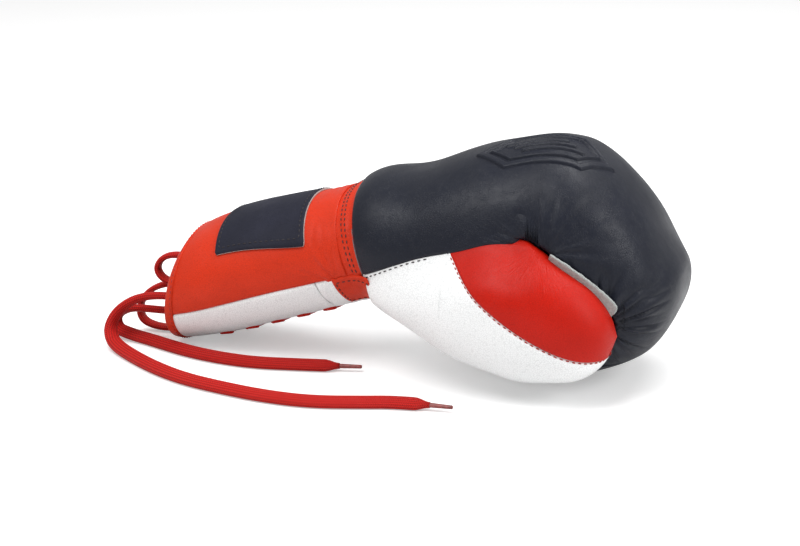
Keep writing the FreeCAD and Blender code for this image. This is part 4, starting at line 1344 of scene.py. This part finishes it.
class GLOVE_OT_patch(PieceOperator, bpy.types.Operator):
    """Plain leather patch on the back of the cuff, with a raw edge and one row of sewing"""
    bl_idname = "glove.patch"
    bl_label = "Patch"

    def execute(self, context):
        thick = context.scene.glove_sizes.patch * 1000
        corner, count = 1.2, 90

        def grid(rows, cols, inset, grow):
            along = np.linspace(39 + inset, 94 - inset, rows)[:, None]
            end = np.clip(corner - np.minimum(along - 39 - inset, 94 - inset - along), 0, corner)
            cut = corner - np.sqrt(corner ** 2 - end ** 2)
            y = (30 - inset - cut) + (-70.5 + 2 * inset + 2 * cut) * np.linspace(0, 1, cols)[None, :]
            wide = rings_at(CUFF, ring_where(CUFF, RIM_X + along * ALONG[0]))[..., 5]
            a = np.arccos(signed_power(y / wide, 1.05))
            s = ring_along(CUFF, along + 0 * y, a)
            return surface(CUFF, s, a, grow)

        top = grid(count, count, 0.0, thick + 0.35)
        top = roll_in(top, 0.35, 1.0)
        top = top + normals(top) * (0.8 * cuff_folds(top) + 0.12 * noise(top, 7, 9))[..., None]
        base = grid(count, count, 0.0, 0.1)
        base = base + normals(base) * (0.8 * cuff_folds(base) - 0.1)[..., None]
        points, faces = shell(top, base)
        patch = add_piece("cuff_patch", points, faces, finish("patch"), "patch_leather", "label_patch", "cuff")
        first_side = len(faces) - 4 * (count - 1)
        mesh = patch.data
        mesh.materials.append(finish("raw_edge"))
        order = np.zeros(len(mesh.polygons), np.int32)
        order[first_side:] = 1
        mesh.polygons.foreach_set("material_index", order)
        inner = grid(60, 60, 2.4, thick + 0.35)
        facing = normals(inner)
        inner = inner + facing * (0.8 * cuff_folds(inner))[..., None]
        loop = np.concatenate([inner[:, 0], inner[-1, 1:], inner[::-1, -1], inner[0, ::-1]])
        out = np.concatenate([facing[:, 0], facing[-1, 1:], facing[::-1, -1], facing[0, ::-1]])
        add_piece("patch_stitches", *sewn(loop, out, 0.05), finish("thread"), "patch_leather", (), "cuff")
        return {"FINISHED"}


class GLOVE_OT_insides(PieceOperator, bpy.types.Operator):
    """Padding of the fist and thumb, their linings, and the bar that the fingers hold"""
    bl_idname = "glove.insides"
    bl_label = "Padding and linings"

    def execute(self, context):
        start = ring_where(HAND, HAND_START)
        s = np.linspace(start, 0.985, 90)
        inner_s = np.linspace(ring_where(POCKET, HAND_START + 1), 1, 90)
        outer, inner = hand_seams(s)
        a = between(outer, inner, np.linspace(0, 1, 110))
        foam = hand_form(surface(HAND, s, a, -2.2), 2.2)
        pocket = surface(POCKET, inner_s, a, 1.2)
        add_piece("knuckle_foam", *shell(foam, pocket), finish("foam"), "foam", "knuckle_pad", "hand", padded=0.95)

        s = np.linspace(start, ring_where(HAND, CREASE_X - 3), 60)
        inner_s = np.linspace(ring_where(POCKET, HAND_START + 1), ring_where(POCKET, CREASE_X), 60)
        outer, inner = hand_seams(s)
        a = between(inner, outer + 2 * np.pi, np.linspace(0, 1, 90))
        foam = hand_form(surface(HAND, s, a, -2.2), 2.2)
        add_piece("palm_foam", *shell(foam, surface(POCKET, inner_s, a, 1.2)), finish("foam"), "foam", "palm_pad",
                  "hand", padded=0.9)

        whole_turn = np.linspace(0, 2 * np.pi, 81)
        s = np.linspace(ring_where(POCKET, HAND_START + 3), 1, 90)
        pocket = closed_ends(surface(POCKET, s, whole_turn + 0 * s[:, None], 0.7), first=False)
        pocket = pocket + normals(pocket) * (0.5 * noise(pocket, 12, 4))[..., None]
        add_grid("hand_pocket", pocket, finish("lining"), "lining", "hand_lining",
                  "hand", thick=LINING, inward=True)

        s = np.linspace(0.08, 0.99, 60)
        foam = surface(THUMB, s, whole_turn + 0 * s[:, None], -2.4)
        foam = closed_ends(thumb_form(foam, (np.cos(whole_turn) > 0) * 1.0 + 0.8))
        add_grid("thumb_foam", foam, finish("foam"), "foam", "thumb_pad", blend=thumb_blend(),
                  padded=0.95)
        s = np.linspace(0, 1, 60)
        pocket = closed_ends(surface(THUMB_POCKET, s, whole_turn + 0 * s[:, None], 0.6))
        add_piece("thumb_pocket", pocket, quads(*pocket.shape[:2])[:, ::-1], finish("lining"), "lining", "thumb_lining",
                  blend=thumb_blend(), thick=LINING)
        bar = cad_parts["grip_bar"]
        for place in bar.material_slots:
            place.material = speckled("Grip bar", (0.03, 0.03, 0.032), 0.8, 900.0, 0.2, 0.3)
        return {"FINISHED"}


PIECES = (GLOVE_OT_stage, GLOVE_OT_laces, GLOVE_OT_hand, GLOVE_OT_relief, GLOVE_OT_thumb, GLOVE_OT_strap, GLOVE_OT_cuff,
          GLOVE_OT_flaps, GLOVE_OT_wrist, GLOVE_OT_patch, GLOVE_OT_insides)


class GLOVE_PT_panel(bpy.types.Panel):
    """Sizes, colours and stage of the glove, and a button for each group of pieces"""
    bl_idname = "GLOVE_PT_panel"
    bl_label = "Boxing glove"
    bl_space_type = "VIEW_3D"
    bl_region_type = "UI"
    bl_category = "Glove"

    def draw(self, context):
        for group in (context.scene.glove_sizes, context.scene.glove_colours, context.scene.glove_stage):
            box = self.layout.box()
            for name in group.__annotations__:
                box.prop(group, name)
        for piece in PIECES:
            self.layout.operator(piece.bl_idname)


CLASSES = (GloveSizes, GloveColours, GloveStage, *PIECES, GLOVE_PT_panel)


def register():
    for made in CLASSES:
        bpy.utils.register_class(made)
    bpy.types.Scene.glove_sizes = PointerProperty(type=GloveSizes)
    bpy.types.Scene.glove_colours = PointerProperty(type=GloveColours)
    bpy.types.Scene.glove_stage = PointerProperty(type=GloveStage)


def unregister():
    for name in ("glove_sizes", "glove_colours", "glove_stage"):
        delattr(bpy.types.Scene, name)
    for made in reversed(CLASSES):
        bpy.utils.unregister_class(made)


def main():
    register()
    for piece in PIECES:
        group, name = piece.bl_idname.split(".")
        getattr(getattr(bpy.ops, group), name)()


if __name__ == "__main__":
    main()
